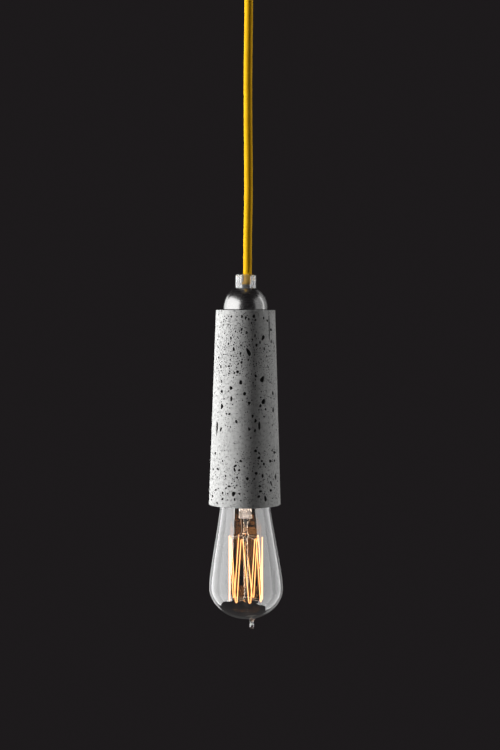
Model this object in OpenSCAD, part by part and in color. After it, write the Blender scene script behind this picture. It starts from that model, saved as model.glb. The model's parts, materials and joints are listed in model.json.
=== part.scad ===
// Pendant ceiling light: a tapered concrete sleeve that hangs on a textile cord
// and holds a clear squirrel-cage bulb.
// Origin: centre of the face that is screwed to the ceiling. +Z points up, +X to the right.
// All lengths are in millimetres.

/* [Ceiling canopy] */
// Outside diameter of the canopy cup
canopy_d = 100; // [90:1:120]
// Height of the canopy cup
canopy_h = 25; // [24:1:32]
// Wall thickness of the canopy cup
canopy_wall = 1.2; // [0.8:0.1:2]
// Distance between the two ceiling screws
ceiling_screw_pitch = 60; // [50:1:66]
// Diameter of the holes for the ceiling screws
ceiling_screw_hole_d = 5; // [4:0.5:6]

/* [Cord] */
// Diameter of the textile-covered cord
cord_d = 7.2; // [6:0.1:7.6]
// Free length of cord between the two grips
cord_drop = 248; // [245:1:600]
// How far the grub screws push the cord off centre
cord_shift = 1.5; // [1:0.1:1.5]

/* [Cord grips] */
// Diameter of a clear cord grip
grip_d = 17.8; // [17:0.1:20]
// Height of a clear cord grip
grip_h = 12; // [11:0.5:14]
// Bore of a clear cord grip
grip_bore_d = 10.2; // [10.2:0.1:10.4]

/* [Steel dome] */
// Outside radius of the dome's round part
dome_r = 19; // [18:0.5:21]
// Height of the flat top above the centre of the round part
dome_flat_h = 16.2; // [15.5:0.1:17]
// Length of the straight skirt under the round part
dome_skirt_h = 1.6; // [1:0.1:4]
// Sheet thickness of the dome
dome_wall = 1.2; // [0.8:0.1:2]

/* [Concrete sleeve] */
// Height of the sleeve
sleeve_h = 168; // [164:1:172]
// Outside diameter at the top
sleeve_top_d = 51; // [50:1:56]
// Outside diameter at the bottom
sleeve_bottom_d = 62; // [61:1:70]
// Thickness of the closed top
sleeve_roof = 14; // [10:1:20]
// Bore diameter under the closed top
sleeve_bore_top_d = 42; // [41:0.5:42]
// Bore diameter at the mouth
sleeve_bore_mouth_d = 50; // [49:0.5:52]

/* [Bulb] */
// Largest diameter of the glass
bulb_d = 64.4; // [63:0.1:65]
// How far the glass reaches below the sleeve
bulb_below_sleeve = 99.8; // [98:0.1:102]
// Wall thickness of the glass
glass_wall = 0.8; // [0.7:0.1:1]
// Sideways offset of the pulled glass tip
tip_offset = 4.6; // [0:0.1:6]
// Number of lower hooks of the filament cage
cage_hooks = 7; // [5:1:9]

/* [Hidden] */

$fn = 64;

// Threads and small fasteners
tube_d = 10;                 // M10 x 1 tube and nipple
tube_bore_d = 8.4;
thread_hold = 3.5;           // how far a tube is screwed into a grip
nut_flats = 14;
nut_h = 4;
grub_d = 4;                  // nylon grub screw
grub_depth = 3.2;            // its axis, below the grip's open end
slot_w = 0.8;                // width of the slot in a screw's head
wire_d = 2.2;                // insulated conductor
wire_sides = 8;
cord_sides = 12;
thin_wire_sides = 6;
running_gap = 0.1;           // radial gap of a hole round its own screw or tube
eps = 1;                     // how far a cutting body stands out of what it cuts

// Canopy
canopy_edge_r = 6;
bracket_t = 2;
bracket_w = 22;
bracket_half = canopy_d/2 - canopy_wall - 1.8;   // outside face of the bent-down ears
bracket_ear_h = 15;
side_screw_z = -9;
side_screw_d = 4;
side_screw_len = 8;
side_screw_head_d = 8;
side_screw_head_h = 2.6;
wire_hole_d = 16;
earth_screw_x = 16;
block_y = 25;
block_pole_w = 9;
block_depth = 17;
block_h = 11;
block_z = -9;                // middle of the terminal block
block_bore_r = 3;            // room for a brass sleeve
block_screw_y = 4.5;         // distance of a terminal's two screws from its middle
block_screw_hole_r = 2.2;
block_fixing_hole_r = 1.2;
terminal_sleeve_r = 2.9;
terminal_sleeve_bore_r = 1.6;
terminal_sleeve_tap_r = 1.4;

// Levels, from the ceiling down
z_canopy = -canopy_h;
z_mouth = z_canopy - grip_h;                 // where the cord leaves the upper grip
bend_half = 7;                               // half the length over which the cord bends
z_bend_x = z_mouth - bend_half;              // axis of the fore-and-aft swing
z_bend_y = z_bend_x - 2*bend_half;           // axis of the sideways swing
z_grip = z_mouth - cord_drop;                // top of the lower grip
z_dome = z_grip - grip_h;                    // flat top of the dome
z_dome_centre = z_dome - dome_flat_h;
z_dome_rim = z_dome_centre - dome_skirt_h;
washer_t = 0.6;
clamp_washer_r = 15;
clamp_washer_t = 2;
z_sleeve = z_dome_rim - washer_t;            // top of the sleeve
z_sleeve_end = z_sleeve - sleeve_h;
z_roof = z_sleeve - sleeve_roof;

// Lampholder, measured up from the sleeve's mouth
z_holder_mouth = z_sleeve_end + 20.5;
z_contact = z_holder_mouth + 26.5;           // top of the bulb's centre contact
z_insert = z_contact + 3;                    // underside of the porcelain above the contact
z_insert_top = z_insert + 10;
z_cap_collar = z_insert_top - 2;
z_holder_top = z_insert_top + 22;
holder_r = 19.5;
holder_wall = 0.8;
holder_inner_r = holder_r - holder_wall;
holder_screw_r = 1.5;                        // lock screw and earth screw
terminal_x = 9;
terminal_screw_r = 1.3;

// Screw thread of the bulb and its holder (E27)
thread_pitch = 3.629;
thread_depth = 0.9;
thread_root_r = 12.2;
thread_gap = 0.25;
thread_sides = 32;
thread_rows = 8;                             // rows of points in one pitch
shell_back_r = 13.9;
cap_rim_r = 13.1;
z_rim = z_holder_mouth - 1;                  // rim of the bulb's metal cap

// Bulb glass
z_bulb_end = z_sleeve_end - bulb_below_sleeve;
bulb_r = bulb_d/2;
bulb_crown_h = 26.9;                         // from the widest ring to the end of the glass
z_widest = z_bulb_end + bulb_crown_h;
neck_r = 11.3;
neck_insert = 9;                             // how far the neck reaches into the cap
shoulder_r = 21.5;                           // glass radius level with the sleeve's mouth
tip_len = 8.8;
tip_r = 2.1;

// Mount inside the bulb
z_stem_top = z_rim + 5;
z_pinch = z_sleeve_end - 2;
pinch_len = 10.4;
pinch_w = 11;
pinch_t = 4.4;
z_pinch_end = z_pinch - pinch_len;
rod_r = 2.3;
button_r = 3.3;
button_h = 6.4;
z_cage_top = z_pinch_end - 16.3;
z_cage_end = z_cage_top - 55.2;
cage_r = 14.6;
cage_turn = 138;                             // puts the gap between the two leads at the back
filament_r = 0.3;
filament_lean = 3.4;                         // degrees either side of a hook within one bend
anchor_r = 0.3;
hook_inset = filament_r + anchor_r + 0.05;   // an anchor passes just inside the filament's bend
lead_r = 0.4;

// The cord's way down: depth under the upper grip's mouth, then sway along X and Y
cord_sway = [
    [25, 0, 0], [40, -0.1, 0], [60, -0.3, 0.1], [80, -0.4, 0.3], [100, -0.3, 0.3],
    [120, -0.1, 0.1], [140, 0.2, -0.1], [160, 0.4, -0.3], [180, 0.5, -0.3], [200, 0.2, -0.1],
    [220, 0, 0]
];
z_stripped = z_canopy + 8.2; // end of the cord's sheath inside the canopy
bend_gap = 0.2;              // between a cord end and the rounded end that turns in front of it
twist_gap = 0.1;

// ---- Helpers -------------------------------------------------------------

function unit(v) = v / norm(v);

// Direction of a route at its point i
function heading(route, i) =
    unit(route[min(i + 1, len(route) - 1)] - route[max(i - 1, 0)]);

// A direction square to t that stays as close to v as it can
function squared(v, t) = unit(v - (v*t)*t);

function first_side(t) = squared(abs(t[0]) < 0.8 ? [1, 0, 0] : [0, 1, 0], t);

// One sideways direction per point, carried along the route without twisting
function sides_of(route) = [
    for (i = 0, s = first_side(heading(route, 0)); i < len(route);
         i = i + 1, s = squared(s, heading(route, min(i, len(route) - 1)))) s
];

function ring(centre, s, t, r, sides) = [
    for (k = [0 : sides - 1])
        centre + r*cos(360*k/sides)*s + r*sin(360*k/sides)*cross(t, s)
];

// Faces of a stack of rings with `sides` points each, closed by a flat face at either end
function stack_faces(rings, sides) = concat(
    [[for (k = [0 : sides - 1]) k]],
    [for (i = [0 : rings - 2], k = [0 : sides - 1])
        [i*sides + k, (i + 1)*sides + k, i*sides + (k + 1) % sides]],
    [for (i = [0 : rings - 2], k = [0 : sides - 1])
        [(i + 1)*sides + k, (i + 1)*sides + (k + 1) % sides, i*sides + (k + 1) % sides]],
    [[for (k = [sides - 1 : -1 : 0]) (rings - 1)*sides + k]]
);

// A round wire or cord swept along a route
module tube_along(route, r, sides) {
    side_list = sides_of(route);
    polyhedron(
        points = [for (i = [0 : len(route) - 1])
            each ring(route[i], side_list[i], heading(route, i), r, sides)],
        faces = stack_faces(len(route), sides)
    );
}

// A round bar between two levels; a hole if it is subtracted
module bar(z_from, z_to, r) {
    translate([0, 0, min(z_from, z_to)]) cylinder(h = abs(z_to - z_from), r = r);
}

// A flat ring or a sleeve with a plain bore
module ring_plate(z_top, z_bottom, r_out, r_in) {
    difference() {
        bar(z_top, z_bottom, r_out);
        bar(z_top + eps, z_bottom - eps, r_in);
    }
}

module hex_nut(z_top, flats, bore_r) {
    difference() {
        translate([0, 0, z_top - nut_h])
            cylinder(h = nut_h, r = flats/2/cos(30), $fn = 6);
        bar(z_top + eps, z_top - nut_h - eps, bore_r);
    }
}

// A screw that stands with its head up: the head's underside is at the origin
module screw(d, len, head_d, head_h) {
    difference() {
        union() {
            translate([0, 0, -len]) cylinder(h = len + 0.01, d = d);
            cylinder(h = head_h, d = head_d);
        }
        translate([-head_d, -slot_w/2, head_h/2]) cube([2*head_d, slot_w, head_h]);
    }
}

// A body of revolution from a list of [radius, level] points
module turned(outline) {
    rotate_extrude() polygon(outline);
}

function bezier(a, b, c, d, t) =
    a*pow(1 - t, 3) + 3*b*t*pow(1 - t, 2) + 3*c*t*t*(1 - t) + d*pow(t, 3);

function bezier_run(a, b, c, d, steps) =
    [for (i = [0 : steps]) bezier(a, b, c, d, i/steps)];

function arc_run(centre, rx, rz, from, to, steps) = [
    for (i = [0 : steps])
        let (a = from + (to - from)*i/steps) centre + [rx*cos(a), rz*sin(a)]
];

// ---- Ceiling canopy --------------------------------------------------------

module ceiling_bracket() {
    color("lightgray") difference() {
        union() {
            translate([-bracket_half, -bracket_w/2, -bracket_t])
                cube([2*bracket_half, bracket_w, bracket_t]);
            for (side = [-1, 1])
                translate([side*(bracket_half - bracket_t/2) - bracket_t/2, -bracket_w/2,
                           -bracket_ear_h])
                    cube([bracket_t, bracket_w, bracket_ear_h]);
        }
        bar(eps, -bracket_t - eps, wire_hole_d/2);
        for (side = [-1, 1]) {
            translate([side*ceiling_screw_pitch/2, 0, 0])
                bar(eps, -bracket_t - eps, ceiling_screw_hole_d/2);
            translate([side*bracket_half, 0, side_screw_z]) rotate([0, 90, 0])
                cylinder(h = 4*bracket_t, d = side_screw_d, center = true);
        }
        translate([-earth_screw_x, 0, 0]) bar(eps, -bracket_t - eps, side_screw_d/2);
    }
}

// The cup's outline: outer wall, rounded edge, floor, and back inside
module canopy_cup() {
    r = canopy_d/2;
    color("silver") difference() {
        turned(concat(
            [[r, 0]],
            arc_run([r - canopy_edge_r, z_canopy + canopy_edge_r],
                    canopy_edge_r, canopy_edge_r, 0, -90, 8),
            [[0, z_canopy], [0, z_canopy + canopy_wall]],
            arc_run([r - canopy_edge_r, z_canopy + canopy_edge_r],
                    canopy_edge_r - canopy_wall, canopy_edge_r - canopy_wall, -90, 0, 8),
            [[r - canopy_wall, 0]]
        ));
        bar(z_canopy - 1, z_canopy + 3, tube_d/2 + running_gap);
        translate([0, 0, side_screw_z]) rotate([0, 90, 0])
            cylinder(h = canopy_d + 10, d = side_screw_d + 2*running_gap, center = true);
    }
}

module canopy_side_screws() {
    color("silver") for (side = [-1, 1])
        translate([side*(canopy_d/2 + 0.05), 0, side_screw_z]) rotate([0, side*90, 0])
            screw(side_screw_d, side_screw_len, side_screw_head_d, side_screw_head_h);
}

module canopy_nipple() {
    color("gainsboro") ring_plate(z_canopy + 8, z_canopy - thread_hold, tube_d/2, tube_bore_d/2);
}

module canopy_nut() {
    color("gainsboro") hex_nut(z_canopy + canopy_wall + nut_h, nut_flats, tube_d/2);
}

// A clear grip: a short cylinder with soft edges, a bore and a hole for its grub screw
module cord_grip(z_top) {
    r = grip_d/2;
    soft = 0.6;
    difference() {
        turned([[0, z_top], [r - soft, z_top], [r, z_top - soft],
                [r, z_top - grip_h + soft], [r - soft, z_top - grip_h], [0, z_top - grip_h]]);
        bar(z_top + eps, z_top - grip_h - eps, grip_bore_d/2);
        translate([0, 0, z_top - grub_depth]) rotate([0, -90, 0])
            cylinder(h = grip_d, d = grub_d);
    }
}

module grip_screw(z_top) {
    tip = cord_shift - cord_d/2 - 0.05;
    length = grip_d/2 - 0.4 + tip;
    translate([tip, 0, z_top - grub_depth]) rotate([0, -90, 0]) difference() {
        cylinder(h = length, d = grub_d);
        translate([-grub_d, -slot_w/2, length - 1]) cube([2*grub_d, slot_w, 2]);
    }
}

// The upper grip is the lower one turned over, so its screw sits near the canopy's far end
module upper_cord_grip() {
    color([0.9, 0.9, 0.9, 0.5]) translate([0, 0, 2*z_mouth + grip_h])
        mirror([0, 0, 1]) cord_grip(z_mouth + grip_h);
}

module upper_grip_screw() {
    color("white") translate([0, 0, 2*z_mouth + grip_h])
        mirror([0, 0, 1]) grip_screw(z_mouth + grip_h);
}

// Three-pole terminal block beside the bracket
function pole_x(i) = (i - 1)*block_pole_w;

module terminal_block() {
    color("whitesmoke") difference() {
        translate([-1.5*block_pole_w, block_y - block_depth/2, block_z - block_h/2])
            cube([3*block_pole_w, block_depth, block_h]);
        for (i = [0 : 2]) {
            translate([pole_x(i), block_y, block_z]) rotate([90, 0, 0])
                cylinder(h = block_depth + 2*eps, r = block_bore_r, center = true);
            for (end = [-1, 1])
                translate([pole_x(i), block_y + end*block_screw_y, block_z - block_h/2 - eps])
                    cylinder(h = block_h/2, r = block_screw_hole_r);
        }
        for (i = [0 : 1])
            translate([pole_x(i) + block_pole_w/2, block_y, block_z - block_h/2 - eps])
                cylinder(h = block_h + 2*eps, r = block_fixing_hole_r);
    }
}

module terminal_sleeves() {
    color("goldenrod") for (i = [0 : 2])
        difference() {
            translate([pole_x(i), block_y, block_z]) rotate([90, 0, 0])
                cylinder(h = block_depth - 3, r = terminal_sleeve_r, center = true);
            translate([pole_x(i), block_y, block_z]) rotate([90, 0, 0])
                cylinder(h = block_depth, r = terminal_sleeve_bore_r, center = true);
            for (end = [-1, 1])
                translate([pole_x(i), block_y + end*block_screw_y, block_z - 4])
                    cylinder(h = 4, r = terminal_sleeve_tap_r);
        }
}

module terminal_screws() {
    color("lightgray") for (i = [0 : 2], end = [-1, 1])
        translate([pole_x(i), block_y + end*block_screw_y, block_z - 3.5]) rotate([180, 0, 0])
            screw(d = 2.6, len = 2.1, head_d = 3.8, head_h = 1.4);
}

module earth_screw() {
    color("gold") translate([-earth_screw_x, 0, -bracket_t - wire_d]) rotate([180, 0, 0])
        screw(side_screw_d, len = wire_d + bracket_t - 0.2, head_d = 7, head_h = 2);
}

module earth_link() {
    color("yellowgreen") tube_along([
        [-block_pole_w, block_y - block_depth/2 - 0.2, block_z], [-9, 13, -9],
        [-10, 10, -7], [-12, 8, -4], [-13.5, 6, -3.3], [-14.6, 3.6, -3.2]
    ], wire_d/2, wire_sides);
}

// The three conductors leave the cord's stripped end and bend over to the block
module canopy_wire(i, x_start) {
    x_end = pole_x(i);
    tube_along([
        [x_start, 1, z_stripped + 0.5], [x_start, 1.7, z_stripped + 2],
        [x_start + (x_end - x_start)*0.2, 4.4, z_stripped + 4.4],
        [x_start + (x_end - x_start)*0.6, 7.5, z_stripped + 6.4],
        [x_end, 11, block_z - 0.4], [x_end, 13.5, block_z],
        [x_end, block_y - block_depth/2 + 3, block_z]
    ], wire_d/2, wire_sides);
}

module canopy_wire_live() {
    color("saddlebrown") canopy_wire(2, 1.4);
}

module canopy_wire_neutral() {
    color("steelblue") canopy_wire(1, -1.3);
}

module canopy_wire_earth() {
    color("yellowgreen") tube_along([
        [-0.2, -1.6, z_stripped + 0.5], [-0.8, -2.2, z_stripped + 2], [-4, -3.4, z_stripped + 5],
        [-9, -4, -9], [-13, -4.2, -5], [-15, -4.2, -3.3], [-18, -4, -3.2]
    ], wire_d/2, wire_sides);
}

// ---- Cord --------------------------------------------------------------------

module cord_tail() {
    color("gold") tube_along([
        [0, 0, z_stripped], [0, 0, z_canopy + 3], [0.2, 0, z_canopy], [0.5, 0, z_canopy - 3.5],
        [cord_shift, 0, z_mouth + 2*grub_depth - 1], [cord_shift, 0, z_mouth],
        [cord_shift, 0, z_bend_x + cord_d/2 + bend_gap]
    ], cord_d/2, cord_sides);
}

// The stretch of cord between the two swing axes, rounded at both ends
module cord_bend() {
    r = cord_d/2;
    color("gold") translate([cord_shift, 0, 0]) turned(concat(
        [[0, z_bend_x + r]],
        arc_run([0, z_bend_x], r, r, 80, 0, 8),
        arc_run([0, z_bend_y], r, r, 0, -80, 8),
        [[0, z_bend_y - r]]
    ));
}

module cord() {
    color("gold") tube_along(concat(
        [[cord_shift, 0, z_bend_y - cord_d/2 - bend_gap]],
        [for (p = cord_sway) [cord_shift + p[1], p[2], z_mouth - p[0]]],
        [[cord_shift, 0, z_grip + 8], [cord_shift, 0, z_grip + twist_gap]]
    ), cord_d/2, cord_sides);
}

module lamp_cord_end() {
    color("gold") tube_along([
        [cord_shift, 0, z_grip - twist_gap], [cord_shift, 0, z_grip - 2*grub_depth + 1],
        [0.5, 0, z_dome + 3.5], [0.2, 0, z_dome], [0, 0, z_dome - 3],
        [0, 0, z_sleeve - 20], [0, 0, z_sleeve - 40], [0, 0, z_sleeve - 60],
        [0, 0, z_holder_top - 9]
    ], cord_d/2, cord_sides);
}

// ---- Lamp body ---------------------------------------------------------------

module lower_cord_grip() {
    color([0.9, 0.9, 0.9, 0.5]) cord_grip(z_grip);
}

module lower_grip_screw() {
    color("white") grip_screw(z_grip);
}

module dome_cap() {
    outer_angle = asin(dome_flat_h/dome_r);
    inner_r = dome_r - dome_wall;
    inner_angle = asin((dome_flat_h - dome_wall)/inner_r);
    centre = [0, z_dome_centre];
    color("lightsteelblue") difference() {
        turned(concat(
            [[0, z_dome]],
            arc_run(centre, dome_r, dome_r, outer_angle, 0, 16),
            [[dome_r, z_dome_rim], [inner_r, z_dome_rim]],
            arc_run(centre, inner_r, inner_r, 0, inner_angle, 16),
            [[0, z_dome - dome_wall]]
        ));
        bar(z_dome + 1, z_dome - 4, tube_d/2 + running_gap);
    }
}

module seating_washer() {
    color("dimgray") ring_plate(z_dome_rim, z_sleeve, dome_r - 1, tube_d/2 + 0.5);
}

// Tapered sleeve: closed at the top but for the tube's hole, open at the bottom
module concrete_sleeve() {
    top_r = sleeve_top_d/2;
    end_r = sleeve_bottom_d/2;
    soft = 0.6;
    hole_r = tube_d/2 + 0.5;
    color("darkgray") turned([
        [hole_r, z_sleeve], [top_r - soft, z_sleeve], [top_r, z_sleeve - soft],
        [end_r, z_sleeve_end + soft], [end_r - soft, z_sleeve_end],
        [sleeve_bore_mouth_d/2 + soft, z_sleeve_end],
        [sleeve_bore_mouth_d/2, z_sleeve_end + soft],
        [sleeve_bore_top_d/2, z_roof - 2], [sleeve_bore_top_d/2 - 2, z_roof],
        [hole_r, z_roof]
    ]);
}

module clamp_washer() {
    color("lightgray")
        ring_plate(z_roof, z_roof - clamp_washer_t, clamp_washer_r, tube_d/2 + running_gap);
}

module lock_nut() {
    color("lightgray") hex_nut(z_roof - clamp_washer_t, nut_flats, tube_d/2);
}

module threaded_tube() {
    color("gainsboro") ring_plate(z_dome + thread_hold, z_holder_top - 7, tube_d/2, tube_bore_d/2);
}

// Conductors between the cord's stripped end and the holder's terminals
z_strip = z_holder_top - 9.2;
z_terminal = z_insert_top + 3;
z_lock_screw = z_holder_top - 4;
z_holder_earth = z_strip - 5.8;

module lamp_wire(x_start, x_end) {
    tube_along([
        [x_start, 0, z_strip], [x_start, 0, z_strip - 2], [(x_start + x_end)/2, 0, z_strip - 5],
        [x_end, 0, z_strip - 6.4], [x_end, 0, z_terminal + 1.8]
    ], wire_d/2, wire_sides);
}

module lamp_wire_live() {
    color("saddlebrown") lamp_wire(1.5, terminal_x);
}

module lamp_wire_neutral() {
    color("steelblue") lamp_wire(-1.5, -terminal_x);
}

module lamp_wire_earth() {
    color("yellowgreen") tube_along([
        [0, 2, z_strip], [0, 2.2, z_strip - 2], [0, 5, z_strip - 4.6], [0, 9, z_strip - 5.6],
        [0, 11.4, z_holder_earth]
    ], wire_d/2, wire_sides);
}

// Metal cap of the holder: threaded neck, dome, and a collar that the skirt covers
module holder_cap() {
    neck_outer = 7.5;
    z_neck = z_holder_top - 8;
    collar_r = holder_inner_r - 0.1;
    collar_end = z_cap_collar - 6;
    z_dome_foot = z_neck - 11;
    lining = 1.8;                            // the dome's metal is thicker over the terminals
    color("dimgray") difference() {
        turned(concat(
            [[tube_d/2 + running_gap, z_holder_top], [neck_outer, z_holder_top],
             [neck_outer, z_neck]],
            arc_run([neck_outer, z_dome_foot], holder_r - neck_outer, z_neck - z_dome_foot,
                    85, 0, 8),
            [[holder_r, z_cap_collar], [collar_r, z_cap_collar], [collar_r, collar_end],
             [collar_r - 1, collar_end]],
            arc_run([neck_outer, z_dome_foot], holder_r - neck_outer - lining,
                    z_neck - z_dome_foot - 1, 0, 85, 8),
            [[tube_d/2 + running_gap, z_neck - 1]]
        ));
        translate([0, 0, z_lock_screw]) rotate([-90, 0, 0]) cylinder(h = 12, r = holder_screw_r);
        translate([0, 0, z_holder_earth]) rotate([-90, 0, 0]) cylinder(h = 30, r = holder_screw_r);
    }
}

module holder_lock_screw() {
    color("lightgray") translate([0, tube_d/2 + 0.05, z_lock_screw]) rotate([-90, 0, 0])
        cylinder(h = 3, r = holder_screw_r);
}

module holder_earth_screw() {
    color("gold") translate([0, holder_r, z_holder_earth]) rotate([-90, 0, 0])
        screw(2*holder_screw_r, len = 6, head_d = 5.5, head_h = 1.6);
}

// Porcelain: a plug inside the cap with a ring that surrounds the screw shell
module holder_insert() {
    plug_r = holder_inner_r - 1.3;
    ring_r = holder_inner_r - 0.2;
    z_flange = z_cap_collar - 6.2;
    color("white") difference() {
        turned([
            [0, z_insert_top], [plug_r, z_insert_top], [plug_r, z_flange], [ring_r, z_flange],
            [ring_r, z_holder_mouth + 8], [shell_back_r + 0.2, z_holder_mouth + 8],
            [shell_back_r + 0.2, z_insert], [0, z_insert]
        ]);
        for (side = [-1, 1])
            translate([side*terminal_x, 0, 0]) bar(z_insert_top + eps, z_insert - eps, 1.6);
    }
}

module holder_terminals() {
    color("goldenrod") for (side = [-1, 1])
        difference() {
            union() {
                translate([side*terminal_x - 2.5, -3, z_insert_top]) cube([5, 6, 5]);
                translate([side*terminal_x, 0, 0]) bar(z_insert_top + 1, z_insert, 1.5);
            }
            translate([side*terminal_x, 0, z_terminal]) rotate([90, 0, 0])
                cylinder(h = 8, r = terminal_screw_r);
            translate([side*terminal_x, 0, 0])
                bar(z_terminal - 0.5, z_insert_top + 6, wire_d/2 + 0.1);
        }
}

module holder_terminal_screws() {
    color("lightgray") for (side = [-1, 1])
        translate([side*terminal_x, -3.05, z_terminal]) rotate([90, 0, 0])
            screw(d = 2.4, len = 2.6, head_d = 4, head_h = 1.2);
}

// Springy brass leaf that presses on the bulb's centre contact
module centre_tongue() {
    color("goldenrod") translate([0, 3, 0]) rotate([90, 0, 0]) linear_extrude(6)
        polygon([
            [terminal_x + 2.5, z_insert], [terminal_x - 2.5, z_insert],
            [3, z_contact + 0.65], [-3, z_contact + 0.55], [-3, z_contact + 0.05],
            [3.2, z_contact + 0.05], [terminal_x - 2.2, z_insert - 0.5],
            [terminal_x + 2.5, z_insert - 0.5]
        ]);
}

// Brass strip from the other terminal to the top of the screw shell
module side_contact() {
    color("goldenrod") translate([0, 2.5, 0]) rotate([90, 0, 0]) linear_extrude(5)
        polygon([
            [-terminal_x + 2, z_insert], [-13.6, z_insert], [-13.6, z_insert - 2.4],
            [-13.0, z_insert - 2.4], [-13.0, z_insert - 0.6], [-terminal_x + 2, z_insert - 0.6]
        ]);
}

// Share of full thread depth at level z: it fades out over one pitch at both ends
function thread_share(z, z_top, z_end) =
    max(0, min(1, (z_top - z)/thread_pitch, (z - z_end)/thread_pitch));

// 0 at the root of the right-hand thread and 1 at its crest
function thread_wave(z, angle) = (1 + cos(360*z/thread_pitch - angle))/2;

function shell_levels(z_top, z_end) =
    let (steps = ceil((z_top - z_end)/thread_pitch*thread_rows))
    [for (i = [0 : steps]) z_top + (z_end - z_top)*i/steps];

function shell_point(r, z, angle) = [r*cos(angle), r*sin(angle), z];

// Holder shell: thread on the inside, plain outside
module holder_screw_shell() {
    z_top = z_insert - 2.5;
    z_end = z_holder_mouth + 2;
    crest_r = thread_root_r + thread_gap + thread_depth;
    levels = shell_levels(z_top, z_end);
    rows = len(levels);
    inner = [for (z = levels, k = [0 : thread_sides - 1]) let (a = 360*k/thread_sides)
        shell_point(crest_r - thread_depth*thread_share(z, z_top - 2, z_end)
                    *(1 - thread_wave(z, a)), z, a)];
    outer = [for (z = [z_end, z_top], k = [0 : thread_sides - 1])
        shell_point(shell_back_r, z, 360*k/thread_sides)];
    color("goldenrod") polyhedron(
        points = concat(inner, outer),
        faces = loop_faces(rows + 2, thread_sides)
    );
}

// Faces of a ring-shaped solid: the last row of points joins the first again
function loop_faces(rows, sides) = [
    for (i = [0 : rows - 1], k = [0 : sides - 1])
        let (a = i*sides, b = ((i + 1) % rows)*sides, n = (k + 1) % sides)
        each [[a + k, b + k, a + n], [b + k, b + n, a + n]]
];

module holder_skirt() {
    color("dimgray")
        ring_plate(z_cap_collar - 0.2, z_holder_mouth + 0.5, holder_r, holder_inner_r);
}

module holder_mouth_ring() {
    inner_r = shell_back_r + 0.1;
    color("black") turned([
        [inner_r, z_holder_mouth + 7.8], [holder_inner_r - 0.2, z_holder_mouth + 7.8],
        [holder_inner_r - 0.2, z_holder_mouth + 0.5], [holder_r, z_holder_mouth + 0.5],
        [holder_r - 0.5, z_holder_mouth], [inner_r, z_holder_mouth]
    ]);
}

// ---- Bulb ----------------------------------------------------------------------

z_shell_top = z_contact - 6.5;
plug_r = 1;

module bulb_centre_contact() {
    color("silver") turned([
        [0, z_contact], [3, z_contact], [4.6, z_contact - 0.4], [5, z_contact - 0.9],
        [plug_r, z_contact - 0.9], [plug_r, z_contact - 3], [0, z_contact - 3]
    ]);
}

module bulb_insulator() {
    color([0.1, 0.1, 0.15]) turned([
        [plug_r + 0.1, z_contact - 1.1], [5.6, z_contact - 1.1], [6.2, z_contact - 1.8],
        [11, z_shell_top + 0.2], [11.6, z_shell_top], [11.6, z_shell_top - 2.5],
        [5, z_shell_top - 2.5], [plug_r + 0.1, z_shell_top + 2]
    ]);
}

// Cap shell of the bulb: thread on the outside, plain inside
module bulb_screw_shell() {
    bore_r = 11.7;
    levels = shell_levels(z_shell_top - 0.6, z_rim);
    rows = len(levels);
    crown = [for (k = [0 : thread_sides - 1])
        shell_point(bore_r, z_shell_top, 360*k/thread_sides)];
    outer = [for (z = levels, k = [0 : thread_sides - 1]) let (a = 360*k/thread_sides)
        shell_point(thread_root_r + thread_depth*thread_share(z, z_shell_top - 0.6, z_rim + 1)
                    *thread_wave(z, a), z, a)];
    foot = [for (k = [0 : thread_sides - 1]) shell_point(bore_r, z_rim, 360*k/thread_sides)];
    color("goldenrod") polyhedron(
        points = concat(foot, crown, outer),
        faces = [for (f = loop_faces(rows + 2, thread_sides)) [f[2], f[1], f[0]]]
    );
}

module bulb_cement() {
    color("tan") ring_plate(z_rim + neck_insert, z_rim + 0.2, 11.6, neck_r);
}

// Outside of the glass from the neck's top to the end, drawn in by t for the inside
function glass_outline(t) = concat(
    [[neck_r - t, z_rim + neck_insert], [neck_r - t, z_rim - 0.2]],
    bezier_run([neck_r + 1.3 - t, z_rim - 0.8], [16.6 - t, z_rim - 3],
               [19.4 - t, z_sleeve_end + 10], [shoulder_r - t, z_sleeve_end], 8),
    [for (i = [1 : 20]) bezier([shoulder_r - t, z_sleeve_end], [24 - t, z_sleeve_end - 22],
        [bulb_r - t, z_widest + 14], [bulb_r - t, z_widest], i/20)],
    [for (i = [1 : 20]) let (a = 90*i/20)
        [(bulb_r - t)*cos(a), z_widest - (bulb_crown_h - t)*sin(a)]]
);

// The pulled tip: a cone that runs out into a rounded drop
module glass_tip() {
    translate([tip_offset, 0, 0]) turned(concat(
        [[0, z_bulb_end + 1.5], [4.2, z_bulb_end + 1.2], [2.6, z_bulb_end - 0.9],
         [1.5, z_bulb_end - 2.6]],
        arc_run([0, z_bulb_end - tip_len + tip_r*1.4], tip_r, tip_r*1.4, 30, -90, 8)
    ));
}

module bulb_glass() {
    color([0.85, 0.92, 0.95, 0.35]) {
        difference() {
            union() {
                turned(concat(glass_outline(0), [[0, z_rim + neck_insert]]));
                glass_tip();
            }
            turned(concat(glass_outline(glass_wall), [[0, z_rim + neck_insert]]));
            bar(z_rim + neck_insert + eps, z_rim + neck_insert - eps, neck_r - glass_wall);
        }
    }
}

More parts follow.
